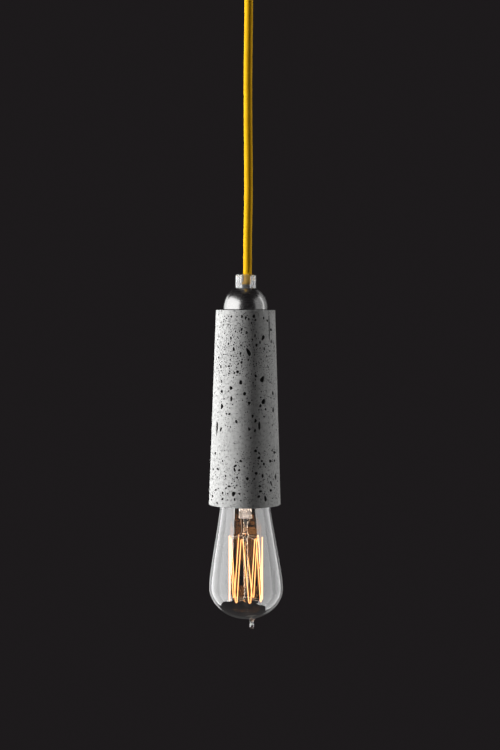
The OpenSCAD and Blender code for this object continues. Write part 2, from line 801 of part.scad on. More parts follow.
// Flared glass tube that ends in a flat pinch
module bulb_stem() {
    tube_r = 5.4;
    wall = 0.9;
    flare_r = neck_r - glass_wall - 0.1;
    color([0.85, 0.92, 0.95, 0.5]) {
        turned([
            [flare_r, z_stem_top], [flare_r - 0.8, z_stem_top], [tube_r - wall, z_stem_top - 8],
            [tube_r - wall, z_pinch + 1], [tube_r, z_pinch + 1], [tube_r, z_stem_top - 9],
            [flare_r, z_stem_top - 1.5]
        ]);
        hull() {
            translate([0, 0, z_pinch]) cylinder(h = 1, r = tube_r, $fn = 32);
            translate([-pinch_w/2, -pinch_t/2, z_pinch - 4]) cube([pinch_w, pinch_t, 1]);
        }
        translate([-pinch_w/2, -pinch_t/2, z_pinch_end]) cube([pinch_w, pinch_t, 7]);
    }
}

// Where hook i of a ring of hooks stands; step is the angle between neighbours
cage_step = 360/(cage_hooks + 0.5);
function cage_angle(i) = cage_turn + i*cage_step;
function cage_point(angle, r, z) = [r*cos(angle), r*sin(angle), z];

function lead_route(side) =
    let (a = side < 0 ? cage_angle(-0.5) : cage_angle(cage_hooks - 0.5))
    [
        [side*2, 0, z_contact - 10], [side*2.6, 0, z_stem_top - 8], [side*3.4, 0, z_pinch],
        [side*3.6, 0, z_pinch_end - 0.6],
        cage_point(a, 8, z_cage_top + 4), cage_point(a, cage_r - 1.6, z_cage_top + 0.6),
        cage_point(a, cage_r, z_cage_top + 0.4)
    ];

module lead_in_wires() {
    color("silver") for (side = [-1, 1]) tube_along(lead_route(side), lead_r, wire_sides);
}

module glass_rod() {
    color([0.85, 0.92, 0.95, 0.5]) turned(concat(
        [[0, z_pinch_end], [rod_r, z_pinch_end]],
        arc_run([0, z_cage_top + 1.5], button_r, button_h/2, 45, -45, 6),
        arc_run([0, z_cage_end + 1], button_r, button_h/2, 45, -45, 6),
        [[0, z_cage_end - 1.9]]
    ));
}

// A wire from the rod that passes inside a bend of the filament and ends in a turned tip
module anchor(angle, z_root, z_hook, tip) {
    tube_along([
        cage_point(angle, rod_r, z_root), cage_point(angle, 7, (z_root + z_hook)/2),
        cage_point(angle, cage_r - 0.9, z_hook), cage_point(angle, cage_r + 0.4, z_hook),
        cage_point(angle, cage_r + 1, z_hook + tip)
    ], anchor_r, thin_wire_sides);
}

module top_anchors() {
    color("silver") for (i = [0 : cage_hooks - 2])
        anchor(cage_angle(i + 0.5), z_cage_top + 1.5, z_cage_top - hook_inset, 0.8);
}

module bottom_anchors() {
    color("silver") for (i = [0 : cage_hooks - 1])
        anchor(cage_angle(i), z_cage_end + 1, z_cage_end + hook_inset, -0.8);
}

// One bend of the filament round a hook; up is 1 if its legs run upwards and -1 if downwards
function bend_at(angle, z, up) = [
    for (p = [[-1, 1.6], [-0.7, 0.4], [0, 0], [0.7, 0.4], [1, 1.6]])
        cage_point(angle + p[0]*filament_lean, cage_r, z + up*p[1])
];

// The filament runs down to a lower hook and up to the next upper one, all the way round
module filament() {
    color("orange") tube_along(concat(
        [cage_point(cage_angle(-0.5), cage_r, z_cage_top)],
        [for (i = [0 : cage_hooks - 1]) each concat(
            bend_at(cage_angle(i), z_cage_end, 1),
            i < cage_hooks - 1 ? bend_at(cage_angle(i + 0.5), z_cage_top, -1) : []
        )],
        [cage_point(cage_angle(cage_hooks - 0.5), cage_r, z_cage_top)]
    ), filament_r, thin_wire_sides);
}

// ---- Assembly ------------------------------------------------------------------

ceiling_bracket();
canopy_cup();
canopy_side_screws();
canopy_nipple();
canopy_nut();
upper_cord_grip();
upper_grip_screw();
terminal_block();
terminal_sleeves();
terminal_screws();
earth_screw();
earth_link();
canopy_wire_live();
canopy_wire_neutral();
canopy_wire_earth();
cord_tail();
cord_bend();
cord();
lower_cord_grip();
lower_grip_screw();
dome_cap();
seating_washer();
concrete_sleeve();
clamp_washer();
lock_nut();
threaded_tube();
lamp_cord_end();
lamp_wire_live();
lamp_wire_neutral();
lamp_wire_earth();
holder_cap();
holder_lock_screw();
holder_earth_screw();
holder_insert();
holder_terminals();
holder_terminal_screws();
centre_tongue();
side_contact();
holder_screw_shell();
holder_skirt();
holder_mouth_ring();
bulb_centre_contact();
bulb_insulator();
bulb_screw_shell();
bulb_cement();
bulb_glass();
bulb_stem();
lead_in_wires();
glass_rod();
top_anchors();
bottom_anchors();
filament();
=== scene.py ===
"""Looks of a pendant ceiling light: a pitted concrete sleeve on a yellow textile cord,
with a steel dome, clear cord grips and a clear squirrel-cage bulb.
Everything is in metres, in the CAD frame: the ceiling is at z = 0 and the front is -Y."""

import json
import math
import random

import bmesh
import bpy
import numpy as np
from mathutils import Matrix, Vector
from mathutils.geometry import delaunay_2d_cdt
from mathutils.noise import noise


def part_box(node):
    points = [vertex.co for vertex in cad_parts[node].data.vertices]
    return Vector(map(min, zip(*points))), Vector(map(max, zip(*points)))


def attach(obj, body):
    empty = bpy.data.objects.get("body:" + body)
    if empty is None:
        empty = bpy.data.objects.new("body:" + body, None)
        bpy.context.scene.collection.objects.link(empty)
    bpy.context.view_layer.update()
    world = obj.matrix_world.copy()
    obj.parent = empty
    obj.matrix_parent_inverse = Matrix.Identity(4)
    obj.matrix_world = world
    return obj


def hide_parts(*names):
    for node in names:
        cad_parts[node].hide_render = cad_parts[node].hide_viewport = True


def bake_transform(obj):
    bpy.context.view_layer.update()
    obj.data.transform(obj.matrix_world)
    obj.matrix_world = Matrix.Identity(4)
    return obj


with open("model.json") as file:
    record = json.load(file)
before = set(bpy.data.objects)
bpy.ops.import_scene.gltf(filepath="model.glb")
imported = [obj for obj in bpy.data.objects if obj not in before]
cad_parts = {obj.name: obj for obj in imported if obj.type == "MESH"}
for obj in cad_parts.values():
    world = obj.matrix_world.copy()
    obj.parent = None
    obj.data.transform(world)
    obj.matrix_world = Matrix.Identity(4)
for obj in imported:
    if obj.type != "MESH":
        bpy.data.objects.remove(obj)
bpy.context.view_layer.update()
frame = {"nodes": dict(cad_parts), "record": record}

MM = 0.001
TURN = 2 * math.pi

# ---- Levels and sizes, read from the frame ------------------------------------------

Z_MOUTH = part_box("upper_cord_grip")[0].z           # where the cord leaves the canopy's grip
Z_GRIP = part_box("lower_cord_grip")[1].z            # where it enters the lamp's grip
Z_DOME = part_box("dome_cap")[1].z
SLEEVE_LOW, SLEEVE_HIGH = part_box("concrete_sleeve")
SLEEVE_TOP_R = 25.5 * MM
SLEEVE_END_R = SLEEVE_HIGH.x
GLASS_LOW, GLASS_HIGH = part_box("bulb_glass")
GLASS_R = GLASS_HIGH.x
CORD_R = 3.6 * MM
CORD_SHIFT = 1.5 * MM                              # the grub screws push the cord to +X
BEND_HALF = 7 * MM                                 # half the stretch in which the cord bends
Z_BEND_X = Z_MOUTH - BEND_HALF
Z_BEND_Y = Z_BEND_X - 2 * BEND_HALF
Z_BEND_MID = (Z_BEND_X + Z_BEND_Y) / 2
Z_BEND_END = Z_BEND_Y - BEND_HALF


# ---- Camera, lights and floor ---------------------------------------------------------

CAMERA_DISTANCE = 1.332
CAMERA_LENS = 74.1
CAMERA_TILT = math.radians(2.41)
CAMERA_YAW = math.radians(0.174)
CAMERA_ROLL = math.radians(0.27)


def add_camera():
    data = bpy.data.cameras.new("camera")
    data.lens = CAMERA_LENS
    camera = bpy.data.objects.new("camera", data)
    bpy.context.scene.collection.objects.link(camera)
    place = Matrix.Translation((0, -CAMERA_DISTANCE, SLEEVE_HIGH.z))
    yaw = Matrix.Rotation(-CAMERA_YAW, 4, "Z")
    tilt = Matrix.Rotation(math.pi / 2 - CAMERA_TILT, 4, "X")
    camera.matrix_world = place @ yaw @ tilt @ Matrix.Rotation(CAMERA_ROLL, 4, "Z")
    bpy.context.scene.camera = camera


LIGHT_DISTANCE = 2.9
CARD_DISTANCE = 0.85
LIGHT_TARGET = Vector((0, 0, Z_DOME - 130 * MM))
BULB_TARGET = Vector((0, 0, SLEEVE_LOW.z - 50 * MM))


def add_panel(name, azimuth, elevation, wide, tall, radiance, **reach):
    """A soft box that faces the lamp: azimuth from the camera's side towards +X, then its width
    and height as seen from its target, all in degrees. `reach` may name what it lights or skips."""
    distance = reach.get("distance", LIGHT_DISTANCE)
    data = bpy.data.lights.new(name, "AREA")
    data.shape = "RECTANGLE"
    data.size = 2 * distance * math.tan(math.radians(wide / 2))
    data.size_y = 2 * distance * math.tan(math.radians(tall / 2))
    data.energy = radiance * math.pi * data.size * data.size_y
    data.color = reach.get("color", (1, 1, 1))
    panel = bpy.data.objects.new(name, data)
    bpy.context.scene.collection.objects.link(panel)
    a, e = math.radians(azimuth), math.radians(elevation)
    out = Vector((math.sin(a) * math.cos(e), -math.cos(a) * math.cos(e), math.sin(e)))
    panel.location = reach.get("target", LIGHT_TARGET) + out * distance
    panel.rotation_euler = out.to_track_quat("Z", "Y").to_euler()
    panel.visible_camera = False
    panel.visible_diffuse = reach.get("diffuse", True)
    panel.visible_glossy = reach.get("glossy", True)
    panel.visible_transmission = False
    group = bpy.data.collections.new(name + "_pieces")
    panel.light_linking.receiver_collection = group
    for state in ("INCLUDE", "EXCLUDE"):
        for piece in reach.get(state.lower(), ()):
            group.objects.link(piece)
            group.collection_objects[-1].light_linking.link_state = state


def add_lights():
    def pieces(*names):
        return [bpy.data.objects[name] for name in names]

    floor = pieces("floor")
    bulb = pieces("bulb_glass_blown")
    grips = [frame["nodes"]["upper_cord_grip"], frame["nodes"]["lower_cord_grip"]]
    matt = {"glossy": False, "exclude": floor}
    metal = {"diffuse": False, "exclude": floor + bulb + grips}
    clear = {"diffuse": False, "include": bulb + grips}
    clear.update(distance=CARD_DISTANCE, target=BULB_TARGET)
    add_panel("key_softbox", -86, 6, 29, 58, 14.0, **matt)
    add_panel("rim_softbox", 107, 8, 10, 50, 9.5, **matt)
    add_panel("back_fill", 180, 30, 50, 40, 0.7, **matt)
    add_panel("top_fill", 0, 84, 40, 40, 0.8, **matt)
    add_panel("front_fill", 20, 10, 50, 40, 0.22, **matt)
    add_panel("metal_left", -76, 6, 84, 70, 1.5, **metal)
    add_panel("metal_left_behind", -134, 4, 32, 40, 1.25, **metal)
    add_panel("metal_right_behind", 132, 6, 34, 70, 0.22, **metal)
    add_panel("metal_right", 84, 6, 60, 70, 0.26, **metal)
    add_panel("metal_strip", 109, 6, 9, 70, 1.1, **metal)
    add_panel("clear_left_front", -68, 0, 44, 84, 10.5, **clear)
    add_panel("clear_left", -112, 0, 44, 84, 7.2, **clear)
    add_panel("clear_left_behind", -147, 0, 26, 70, 1.7, **clear)
    add_panel("clear_right_front", 68, -6, 44, 96, 6.6, **clear)
    add_panel("clear_right", 112, -6, 44, 96, 4.4, **clear)
    add_panel("clear_right_behind", 147, -6, 26, 76, 0.7, **clear)

    # The filament's own light: on the glass rod and the wires round it, from either side,
    near = {"distance": 12 * MM, "target": Vector((1 * MM, 0, (Z_PINCH_END + Z_CAGE_END) / 2))}
    near["color"] = (1.0, 0.80, 0.62)
    wires = pieces("bulb_leads", "anchors_upper", "anchors_lower")
    rod = pieces("bulb_mount", "bulb_rod")
    for side in (-1, 1):
        add_panel("wire_glow", 90 * side, 0, 50, 135, 1.2, include=wires, **near)
        add_panel("rod_glow", 90 * side, 0, 50, 146, 32, diffuse=False, include=rod, **near)
    # and on the bulb's own glass, which mirrors it back between the legs
    near.update(distance=3 * MM, color=(1.0, 0.36, 0.10))
    for azimuth in (0, 180):
        add_panel("cage_glow", azimuth, 0, 158, 165, 2.0, diffuse=False, include=bulb, **near)
    add_panel("floor_light", 0, 84, 60, 60, 0.7, glossy=False, include=floor)


def add_world():
    """A dark studio that still gives a little fill light to matt surfaces."""
    world = bpy.data.worlds.new("studio")
    bpy.context.scene.world = world
    world.use_nodes = True
    background = world.node_tree.nodes["Background"]
    background.inputs["Color"].default_value = (0.0121, 0.0105, 0.0114, 1)
    background.inputs["Strength"].default_value = 1.0
    bpy.context.scene.view_settings.view_transform = "Standard"


# ---- Small mesh tools -------------------------------------------------------------------

def new_piece(name, vertices, faces, smooth=True):
    mesh = bpy.data.meshes.new(name)
    mesh.from_pydata([tuple(v) for v in vertices], [], faces)
    mesh.polygons.foreach_set("use_smooth", [smooth] * len(mesh.polygons))
    mesh.update()
    piece = bpy.data.objects.new(name, mesh)
    bpy.context.scene.collection.objects.link(piece)
    return piece


def finish_piece(piece, material, body, node):
    """Gives the piece a material and its body, in place of a CAD node, which it hides."""
    piece.data.materials.clear()
    piece.data.materials.append(MATERIALS[material])
    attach(piece, body)
    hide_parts(node)


def smooth_path(points, step):
    """Points every `step` metres on a Catmull-Rom curve through the given points."""
    p = np.array(points, float)
    p = np.vstack([2 * p[0] - p[1], p, 2 * p[-1] - p[-2]])
    fine = []
    for i in range(1, len(p) - 2):
        for t in np.linspace(0, 1, 16, endpoint=False):
            fine.append(0.5 * (
                2 * p[i] + (p[i + 1] - p[i - 1]) * t
                + (2 * p[i - 1] - 5 * p[i] + 4 * p[i + 1] - p[i + 2]) * t ** 2
                + (3 * p[i] - p[i - 1] - 3 * p[i + 1] + p[i + 2]) * t ** 3
            ))
    fine = np.array(fine + [p[-2]])
    along = np.concatenate([[0], np.cumsum(np.linalg.norm(np.diff(fine, axis=0), axis=1))])
    count = max(2, round(along[-1] / step) + 1)
    places = np.linspace(0, along[-1], count)
    return np.stack([np.interp(places, along, fine[:, k]) for k in range(3)], axis=1), places


def frames_along(path):
    """Two directions square to the path at each point, carried along without twisting."""
    tangent = np.gradient(path, axis=0)
    tangent /= np.linalg.norm(tangent, axis=1)[:, None]
    start = np.array([1.0, 0, 0]) if abs(tangent[0][0]) < 0.8 else np.array([0, 1.0, 0])
    side = np.zeros_like(path)
    for i, t in enumerate(tangent):
        start = start - (start @ t) * t
        start /= np.linalg.norm(start)
        side[i] = start
    return side, np.cross(tangent, side)


def tube_faces(rings, sides, first=0):
    faces = []
    for i in range(rings - 1):
        a, b = first + i * sides, first + (i + 1) * sides
        faces += [(a + k, a + (k + 1) % sides, b + (k + 1) % sides, b + k) for k in range(sides)]
    return faces


def tube_points(path, radius, sides):
    """Rings of points; radius is a number or an array of shape (rings, sides)."""
    side, across = frames_along(path)
    angle = np.arange(sides) * TURN / sides
    radius = np.broadcast_to(radius, (len(path), sides))
    along_side = side[:, None] * np.cos(angle)[None, :, None]
    along_across = across[:, None] * np.sin(angle)[None, :, None]
    return (path[:, None] + (along_side + along_across) * radius[:, :, None]).reshape(-1, 3)


def solid_tube(name, routes, radius, sides, step):
    """One object with a closed tube along each route."""
    vertices, faces = [], []
    for route in routes:
        path, _ = smooth_path(route, step)
        first = len(vertices)
        vertices += list(tube_points(path, radius, sides))
        faces += tube_faces(len(path), sides, first)
        last = len(vertices) - sides
        faces.append(tuple(range(first + sides - 1, first - 1, -1)))
        faces.append(tuple(range(last, last + sides)))
    return new_piece(name, vertices, faces)


def bezier(a, b, c, d, count):
    """Points on a cubic curve, both ends included."""
    t = np.linspace(0, 1, count)[:, None]
    a, b, c, d = (np.array(p, float) for p in (a, b, c, d))
    return a * (1 - t) ** 3 + 3 * b * t * (1 - t) ** 2 + 3 * c * t ** 2 * (1 - t) + d * t ** 3


# ---- Material tools ---------------------------------------------------------------------

class Shader:
    """A material with one Principled node, and short ways to add the nodes that drive it."""

    def __init__(self, name, **values):
        self.material = bpy.data.materials.new(name)
        self.material.use_nodes = True
        self.tree = self.material.node_tree
        self.main = self.tree.nodes["Principled BSDF"]
        self.coordinate = self.tree.nodes.new("ShaderNodeTexCoord").outputs["Object"]
        for socket, value in values.items():
            self.main.inputs[socket.replace("_", " ")].default_value = value

    def node(self, kind, **settings):
        made = self.tree.nodes.new("ShaderNode" + kind)
        for key, value in settings.items():
            setattr(made, key, value)
        return made

    def link(self, source, target):
        self.tree.links.new(source, target)

    def scaled(self, sx, sy, sz, source=None):
        mapping = self.node("Mapping")
        mapping.inputs["Scale"].default_value = (sx, sy, sz)
        self.link(source or self.coordinate, mapping.inputs["Vector"])
        return mapping.outputs["Vector"]

    def noise(self, scale, detail=4, roughness=0.55, source=None, distortion=0.0):
        made = self.node("TexNoise")
        made.inputs["Scale"].default_value = scale
        made.inputs["Detail"].default_value = detail
        made.inputs["Roughness"].default_value = roughness
        made.inputs["Distortion"].default_value = distortion
        self.link(source or self.coordinate, made.inputs["Vector"])
        return made.outputs["Fac"]

    def attribute(self, name):
        return self.node("Attribute", attribute_name=name).outputs["Fac"]

    def ramp(self, source, low, high, low_at=0.0, high_at=1.0):
        """A value or colour that runs from low to high as source goes from low_at to high_at."""
        made = self.node("ValToRGB")
        ends = made.color_ramp.elements
        ends[0].position, ends[1].position = low_at, high_at
        ends[0].color, ends[1].color = [c if len(c) == 4 else (*c, 1) for c in (low, high)]
        self.link(source, made.inputs["Fac"])
        return made.outputs["Color"]

    def span(self, source, low, high, low_at=0.0, high_at=1.0):
        """A number that runs from low to high as source goes from low_at to high_at."""
        made = self.node("MapRange")
        limits = {"From Min": low_at, "From Max": high_at, "To Min": low, "To Max": high}
        for socket, value in limits.items():
            made.inputs[socket].default_value = value
        self.link(source, made.inputs["Value"])
        return made.outputs["Result"]

    def math(self, operation, a, b):
        made = self.node("Math", operation=operation)
        for socket, value in zip(made.inputs, (a, b)):
            if isinstance(value, (int, float)):
                socket.default_value = value
            else:
                self.link(value, socket)
        return made.outputs["Value"]

    def mix(self, share, a, b, blend="MIX"):
        made = self.node("Mix", data_type="RGBA", blend_type=blend)
        for socket, value in zip((made.inputs[0], made.inputs[6], made.inputs[7]), (share, a, b)):
            if isinstance(value, tuple):
                socket.default_value = value if len(value) == 4 else (*value, 1)
            elif isinstance(value, (int, float)):
                socket.default_value = value
            else:
                self.link(value, socket)
        return made.outputs[2]

    def round_axis(self, across, along, around):
        """Coordinates that follow a turned part: radius, height and angle, each scaled."""
        parts = self.node("SeparateXYZ")
        self.link(self.coordinate, parts.inputs["Vector"])
        x, y, z = parts.outputs
        squares = self.math("ADD", self.math("MULTIPLY", x, x), self.math("MULTIPLY", y, y))
        radius = self.math("SQRT", squares, 0)
        angle = self.math("ARCTAN2", y, x)
        joined = self.node("CombineXYZ")
        for socket, value, scale in zip(joined.inputs, (radius, z, angle), (across, along, around)):
            self.link(self.math("MULTIPLY", value, scale), socket)
        return joined.outputs["Vector"]

    def drive(self, socket, source):
        self.link(source, self.main.inputs[socket])

    def bump(self, source, strength, distance):
        made = self.node("Bump")
        made.inputs["Strength"].default_value = strength
        made.inputs["Distance"].default_value = distance
        self.link(source, made.inputs["Height"])
        self.link(made.outputs["Normal"], self.main.inputs["Normal"])


def textile():
    """Shiny rayon braid: painted shade in the grooves, with faint yarns inside each strand."""
    s = Shader("yellow_textile", Roughness=0.7, Specular_IOR_Level=0.05)
    uv = s.node("UVMap").outputs["UV"]
    wear = s.noise(60, 3)
    yarn = s.noise(9, 2, source=s.scaled(40, 40, 1, uv))
    crest = s.mix(s.span(wear, 0, 1, 0.35, 0.65), (0.82, 0.44, 0.006), (0.90, 0.50, 0.010))
    # Painted shade: the grooves between the strands take a darker colour than the crests
    groove_painted_shade = s.mix(yarn, (0.50, 0.22, 0.002), (0.62, 0.29, 0.003))
    s.drive("Base Color", s.mix(s.span(s.attribute("crest"), 0, 1, 0.05, 0.6), groove_painted_shade, crest))
    s.drive("Roughness", s.span(yarn, 0.45, 0.6))
    s.bump(yarn, 0.35, 0.05 * MM)
    return s.material


def concrete():
    """Cast concrete: cloudy grey with fine sand, dark specks of painted shade for its pin holes, and
    painted shade in the pits.
    """
    s = Shader("concrete", Roughness=0.85, Specular_IOR_Level=0.3)
    cloud = s.noise(28, 5, 0.6, distortion=0.4)
    mottle = s.noise(420, 4, 0.7)
    sand = s.noise(1300, 3, 0.7)
    # Painted shade: small dark specks stand in for the shade inside pin holes
    pin_hole_painted_shade = s.noise(480, 2, 0.5)
    streak = s.noise(1, 3, 0.6, source=s.scaled(160, 160, 12))
    body = s.ramp(cloud, (0.47, 0.47, 0.462), (0.57, 0.57, 0.56), 0.3, 0.7)
    body = s.mix(s.span(mottle, 0.0, 0.7, 0.44, 0.68), body, (0.27, 0.27, 0.267))
    body = s.mix(s.span(streak, 0.0, 0.3, 0.5, 0.75), body, (0.62, 0.62, 0.61))
    body = s.mix(s.span(sand, 0.0, 0.25, 0.35, 0.7), body, (0.33, 0.33, 0.325))
    body = s.mix(s.span(pin_hole_painted_shade, 0.0, 0.6, 0.58, 0.68), body, (0.17, 0.17, 0.17))
    # Painted shade: the pits' colour runs to near black, standing in for the shadow deep in each pit
    pit_painted_shade = s.span(s.attribute("pit"), 0, 1, 0.0, 0.5)
    s.drive("Base Color", s.mix(pit_painted_shade, body, (0.030, 0.029, 0.028)))
    s.drive("Roughness", s.span(cloud, 0.75, 0.92))
    height = s.math("ADD", s.math("MULTIPLY", sand, 0.5), s.math("MULTIPLY", mottle, 1.2))
    s.bump(height, 0.5, 0.14 * MM)
    return s.material


def spun_steel():
    """Satin nickel-plated steel with the fine circular marks of spinning."""
    s = Shader("satin_steel", Metallic=1.0, Roughness=0.3)
    marks = s.noise(1, 6, 0.7, source=s.round_axis(5200, 5200, 2))
    smudge = s.noise(45, 3)
    wear = s.math("ADD", marks, s.math("MULTIPLY", smudge, 0.6))
    s.drive("Base Color", s.ramp(smudge, (0.56, 0.555, 0.55), (0.66, 0.655, 0.65), 0.3, 0.7))
    s.drive("Roughness", s.span(wear, 0.19, 0.31, 0.5, 1.1))
    s.bump(marks, 0.10, 0.02 * MM)
    return s.material


def plated(name, low, high, roughness, grain, metallic=1.0):
    """Small metal parts: cloudy plating with a fine grain."""
    s = Shader(name, Metallic=metallic, Roughness=roughness)
    cloud = s.noise(grain, 4, 0.6)
    fine = s.noise(grain * 14, 3, 0.6)
    s.drive("Base Color", s.ramp(cloud, low, high, 0.3, 0.7))
    s.drive("Roughness", s.span(fine, roughness * 0.75, roughness * 1.3, 0.3, 0.7))
    s.bump(fine, 0.12, 0.03 * MM)
    return s.material


def moulded(name, low, high, roughness, coat=0.0, grain=180, subsurface=0.0):
    """Plastic, porcelain, rubber or cement: mottled body with a fine skin."""
    s = Shader(name, Roughness=roughness, Coat_Weight=coat, Subsurface_Weight=subsurface)
    s.main.inputs["Subsurface Scale"].default_value = 1 * MM
    s.main.inputs["Coat Roughness"].default_value = 0.08
    cloud = s.noise(grain, 4, 0.6)
    skin = s.noise(grain * 12, 2)
    s.drive("Base Color", s.ramp(cloud, low, high, 0.3, 0.7))
    s.drive("Roughness", s.span(skin, roughness * 0.85, roughness * 1.15, 0.3, 0.7))
    s.bump(skin, 0.1, 0.03 * MM)
    return s.material


def glass(name, tint, ior, smear, clear=1.0):
    """Glass or acrylic with faint smears in its gloss; less than 1 clear is cloudy."""
    s = Shader(name, Transmission_Weight=clear, Roughness=0.0, IOR=ior)
    streak = s.noise(35, 3, 0.6)
    s.drive("Base Color", s.ramp(streak, tint, (1, 1, 1), 0.3, 0.6))
    s.drive("Roughness", s.span(streak, 0.0, smear, 0.45, 0.75))
    return s.material


def pressed_glass():
    """The glass work inside the bulb: it is full of seeds, and a painted glow in them stands in for the
    filament's light.
    """
    s = Shader("pressed_glass", Transmission_Weight=0.85, IOR=1.52)
    seeds = s.noise(900, 3, 0.6)
    s.drive("Base Color", s.ramp(seeds, (0.86, 0.85, 0.83), (1, 1, 1), 0.35, 0.6))
    s.drive("Roughness", s.span(seeds, 0.0, 0.12, 0.4, 0.7))
    # Painted glow: emission in the seeds stands in for the filament's light caught in the glass
    s.drive("Emission Color", s.ramp(seeds, (0.20, 0.13, 0.10), (1.0, 0.86, 0.76), 0.42, 0.66))
    s.main.inputs["Emission Strength"].default_value = 0.30
    return s.material


def glowing_filament():
    """Carbonised tungsten at work: its glow varies a little along the wire."""
    s = Shader("filament", Metallic=0.6, Roughness=0.6, Base_Color=(0.25, 0.16, 0.1, 1))
    heat = s.noise(90, 3)
    s.drive("Emission Color", s.ramp(heat, (1.0, 0.40, 0.12), (1.0, 0.47, 0.18), 0.3, 0.7))
    s.main.inputs["Emission Strength"].default_value = 2.3
    return s.material


def pale_floor():
    s = Shader("pale_floor", Roughness=0.75)
    s.drive("Base Color", s.ramp(s.noise(3, 4), (0.66, 0.655, 0.64), (0.72, 0.715, 0.70), 0.3, 0.7))
    s.drive("Roughness", s.span(s.noise(40, 3), 0.65, 0.85))
    return s.material


MATERIALS = {
    "bracket_steel": plated("bracket_steel", (0.50, 0.51, 0.53), (0.66, 0.67, 0.68), 0.38, 60),
    "satin_steel": spun_steel(),
    "zinc_plated": plated("zinc_plated", (0.58, 0.60, 0.64), (0.72, 0.73, 0.74), 0.28, 150),
    "clear_acrylic": glass("clear_acrylic", (0.95, 0.955, 0.955), 1.49, 0.06, 0.91),
    "white_nylon": moulded("white_nylon", (0.78, 0.77, 0.74), (0.86, 0.85, 0.83), 0.42, subsurface=0.2),
    "brass": plated("brass", (0.70, 0.47, 0.20), (0.84, 0.60, 0.28), 0.26, 120),
    "wire_brown": moulded("wire_brown", (0.16, 0.065, 0.025), (0.22, 0.095, 0.04), 0.38, grain=90),
    "wire_blue": moulded("wire_blue", (0.02, 0.12, 0.42), (0.04, 0.18, 0.55), 0.38, grain=90),
    "wire_earth": moulded("wire_earth", (0.10, 0.38, 0.05), (0.16, 0.50, 0.08), 0.38, grain=90),
    "yellow_textile": textile(),
    "rubber_washer": moulded("rubber_washer", (0.012, 0.012, 0.013), (0.03, 0.03, 0.03), 0.7),
    "concrete": concrete(),
    "holder_metal": plated("holder_metal", (0.035, 0.034, 0.033), (0.06, 0.058, 0.055), 0.42, 80, 0.6),
    "porcelain": moulded("porcelain", (0.80, 0.79, 0.76), (0.88, 0.87, 0.85), 0.22, coat=0.5),
    "black_bakelite": moulded("black_bakelite", (0.012, 0.011, 0.01), (0.03, 0.026, 0.022), 0.28, 0.3),
    "solder": plated("solder", (0.50, 0.50, 0.51), (0.66, 0.66, 0.66), 0.42, 300),
    "cement": moulded("cement", (0.50, 0.42, 0.30), (0.62, 0.54, 0.40), 0.85),
    "bulb_glass": glass("bulb_glass", (0.96, 0.985, 0.97), 1.52, 0.004),
    "pressed_glass": pressed_glass(),
    "nickel_wire": plated("nickel_wire", (0.52, 0.50, 0.47), (0.66, 0.64, 0.60), 0.32, 200),
    "filament": glowing_filament(),
}


def paint_cad_nodes():
    """Every CAD node takes the material of its slot in the record."""
    for part in frame["record"]["subparts"]:
        shown = frame["nodes"][part["node"]]
        shown.data.materials.clear()
        shown.data.materials.append(MATERIALS[part["material_slot"]])


# ---- Cord -----------------------------------------------------------------------------------

BRAID_STRANDS = 16
BRAID_RELIEF = 0.16 * MM
BRAID_SIDES = 80
BRAID_STEP = 0.28 * MM

# Route of the free cord: depth under the canopy grip's mouth, then sway along X and Y, in mm
CORD_SWAY = [
    (25, 0, 0), (40, -0.1, 0), (60, -0.3, 0.1), (80, -0.4, 0.3), (100, -0.3, 0.3),
    (120, -0.1, 0.1), (140, 0.2, -0.1), (160, 0.4, -0.3), (180, 0.5, -0.3), (200, 0.2, -0.1),
    (220, 0, 0),
]


def braid_crest(around, along):
    """0 in the grooves and 1 on the crests of a two-over-two braid; both in strand widths."""
    a, b = around + along, around - along
    over = np.mod(np.floor(a) - np.floor(b), 4) < 2
    across = np.where(over, a, b) % 1
    length = np.where(over, np.mod(b, 1), np.mod(a, 1))
    lift = 1 - (2 * across - 1) ** 2
    return lift * (0.8 + 0.2 * np.sin(length * math.pi))


def braided(name, route, body):
    path, along = smooth_path(route, BRAID_STEP)
    angle = np.arange(BRAID_SIDES) / BRAID_SIDES
    strand = TURN * CORD_R / BRAID_STRANDS
    crest = braid_crest(angle[None, :] * BRAID_STRANDS, (along + path[0][2])[:, None] / strand)
    radius = CORD_R - BRAID_RELIEF * (0.75 - crest)
    vertices = tube_points(path, radius, BRAID_SIDES)
    piece = new_piece(name, vertices, tube_faces(len(path), BRAID_SIDES))
    shade = piece.data.attributes.new("crest", "FLOAT", "POINT")
    shade.data.foreach_set("value", crest.astype(np.float32).ravel())
    uv = piece.data.uv_layers.new(name="braid")
    loop_vertex = np.zeros(len(piece.data.loops), np.int32)
    piece.data.loops.foreach_get("vertex_index", loop_vertex)
    ring, side = np.divmod(loop_vertex, BRAID_SIDES)
    layout = np.stack([side / BRAID_SIDES, along[ring] / (TURN * CORD_R)], axis=1)
    uv.data.foreach_set("uv", layout.astype(np.float32).ravel())
    piece.data.materials.append(MATERIALS["yellow_textile"])
    if body:
        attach(piece, body)
    return piece, path


def straight(z_from, z_to):
    return [(CORD_SHIFT, 0, z) for z in np.linspace(z_from, z_to, 5)]


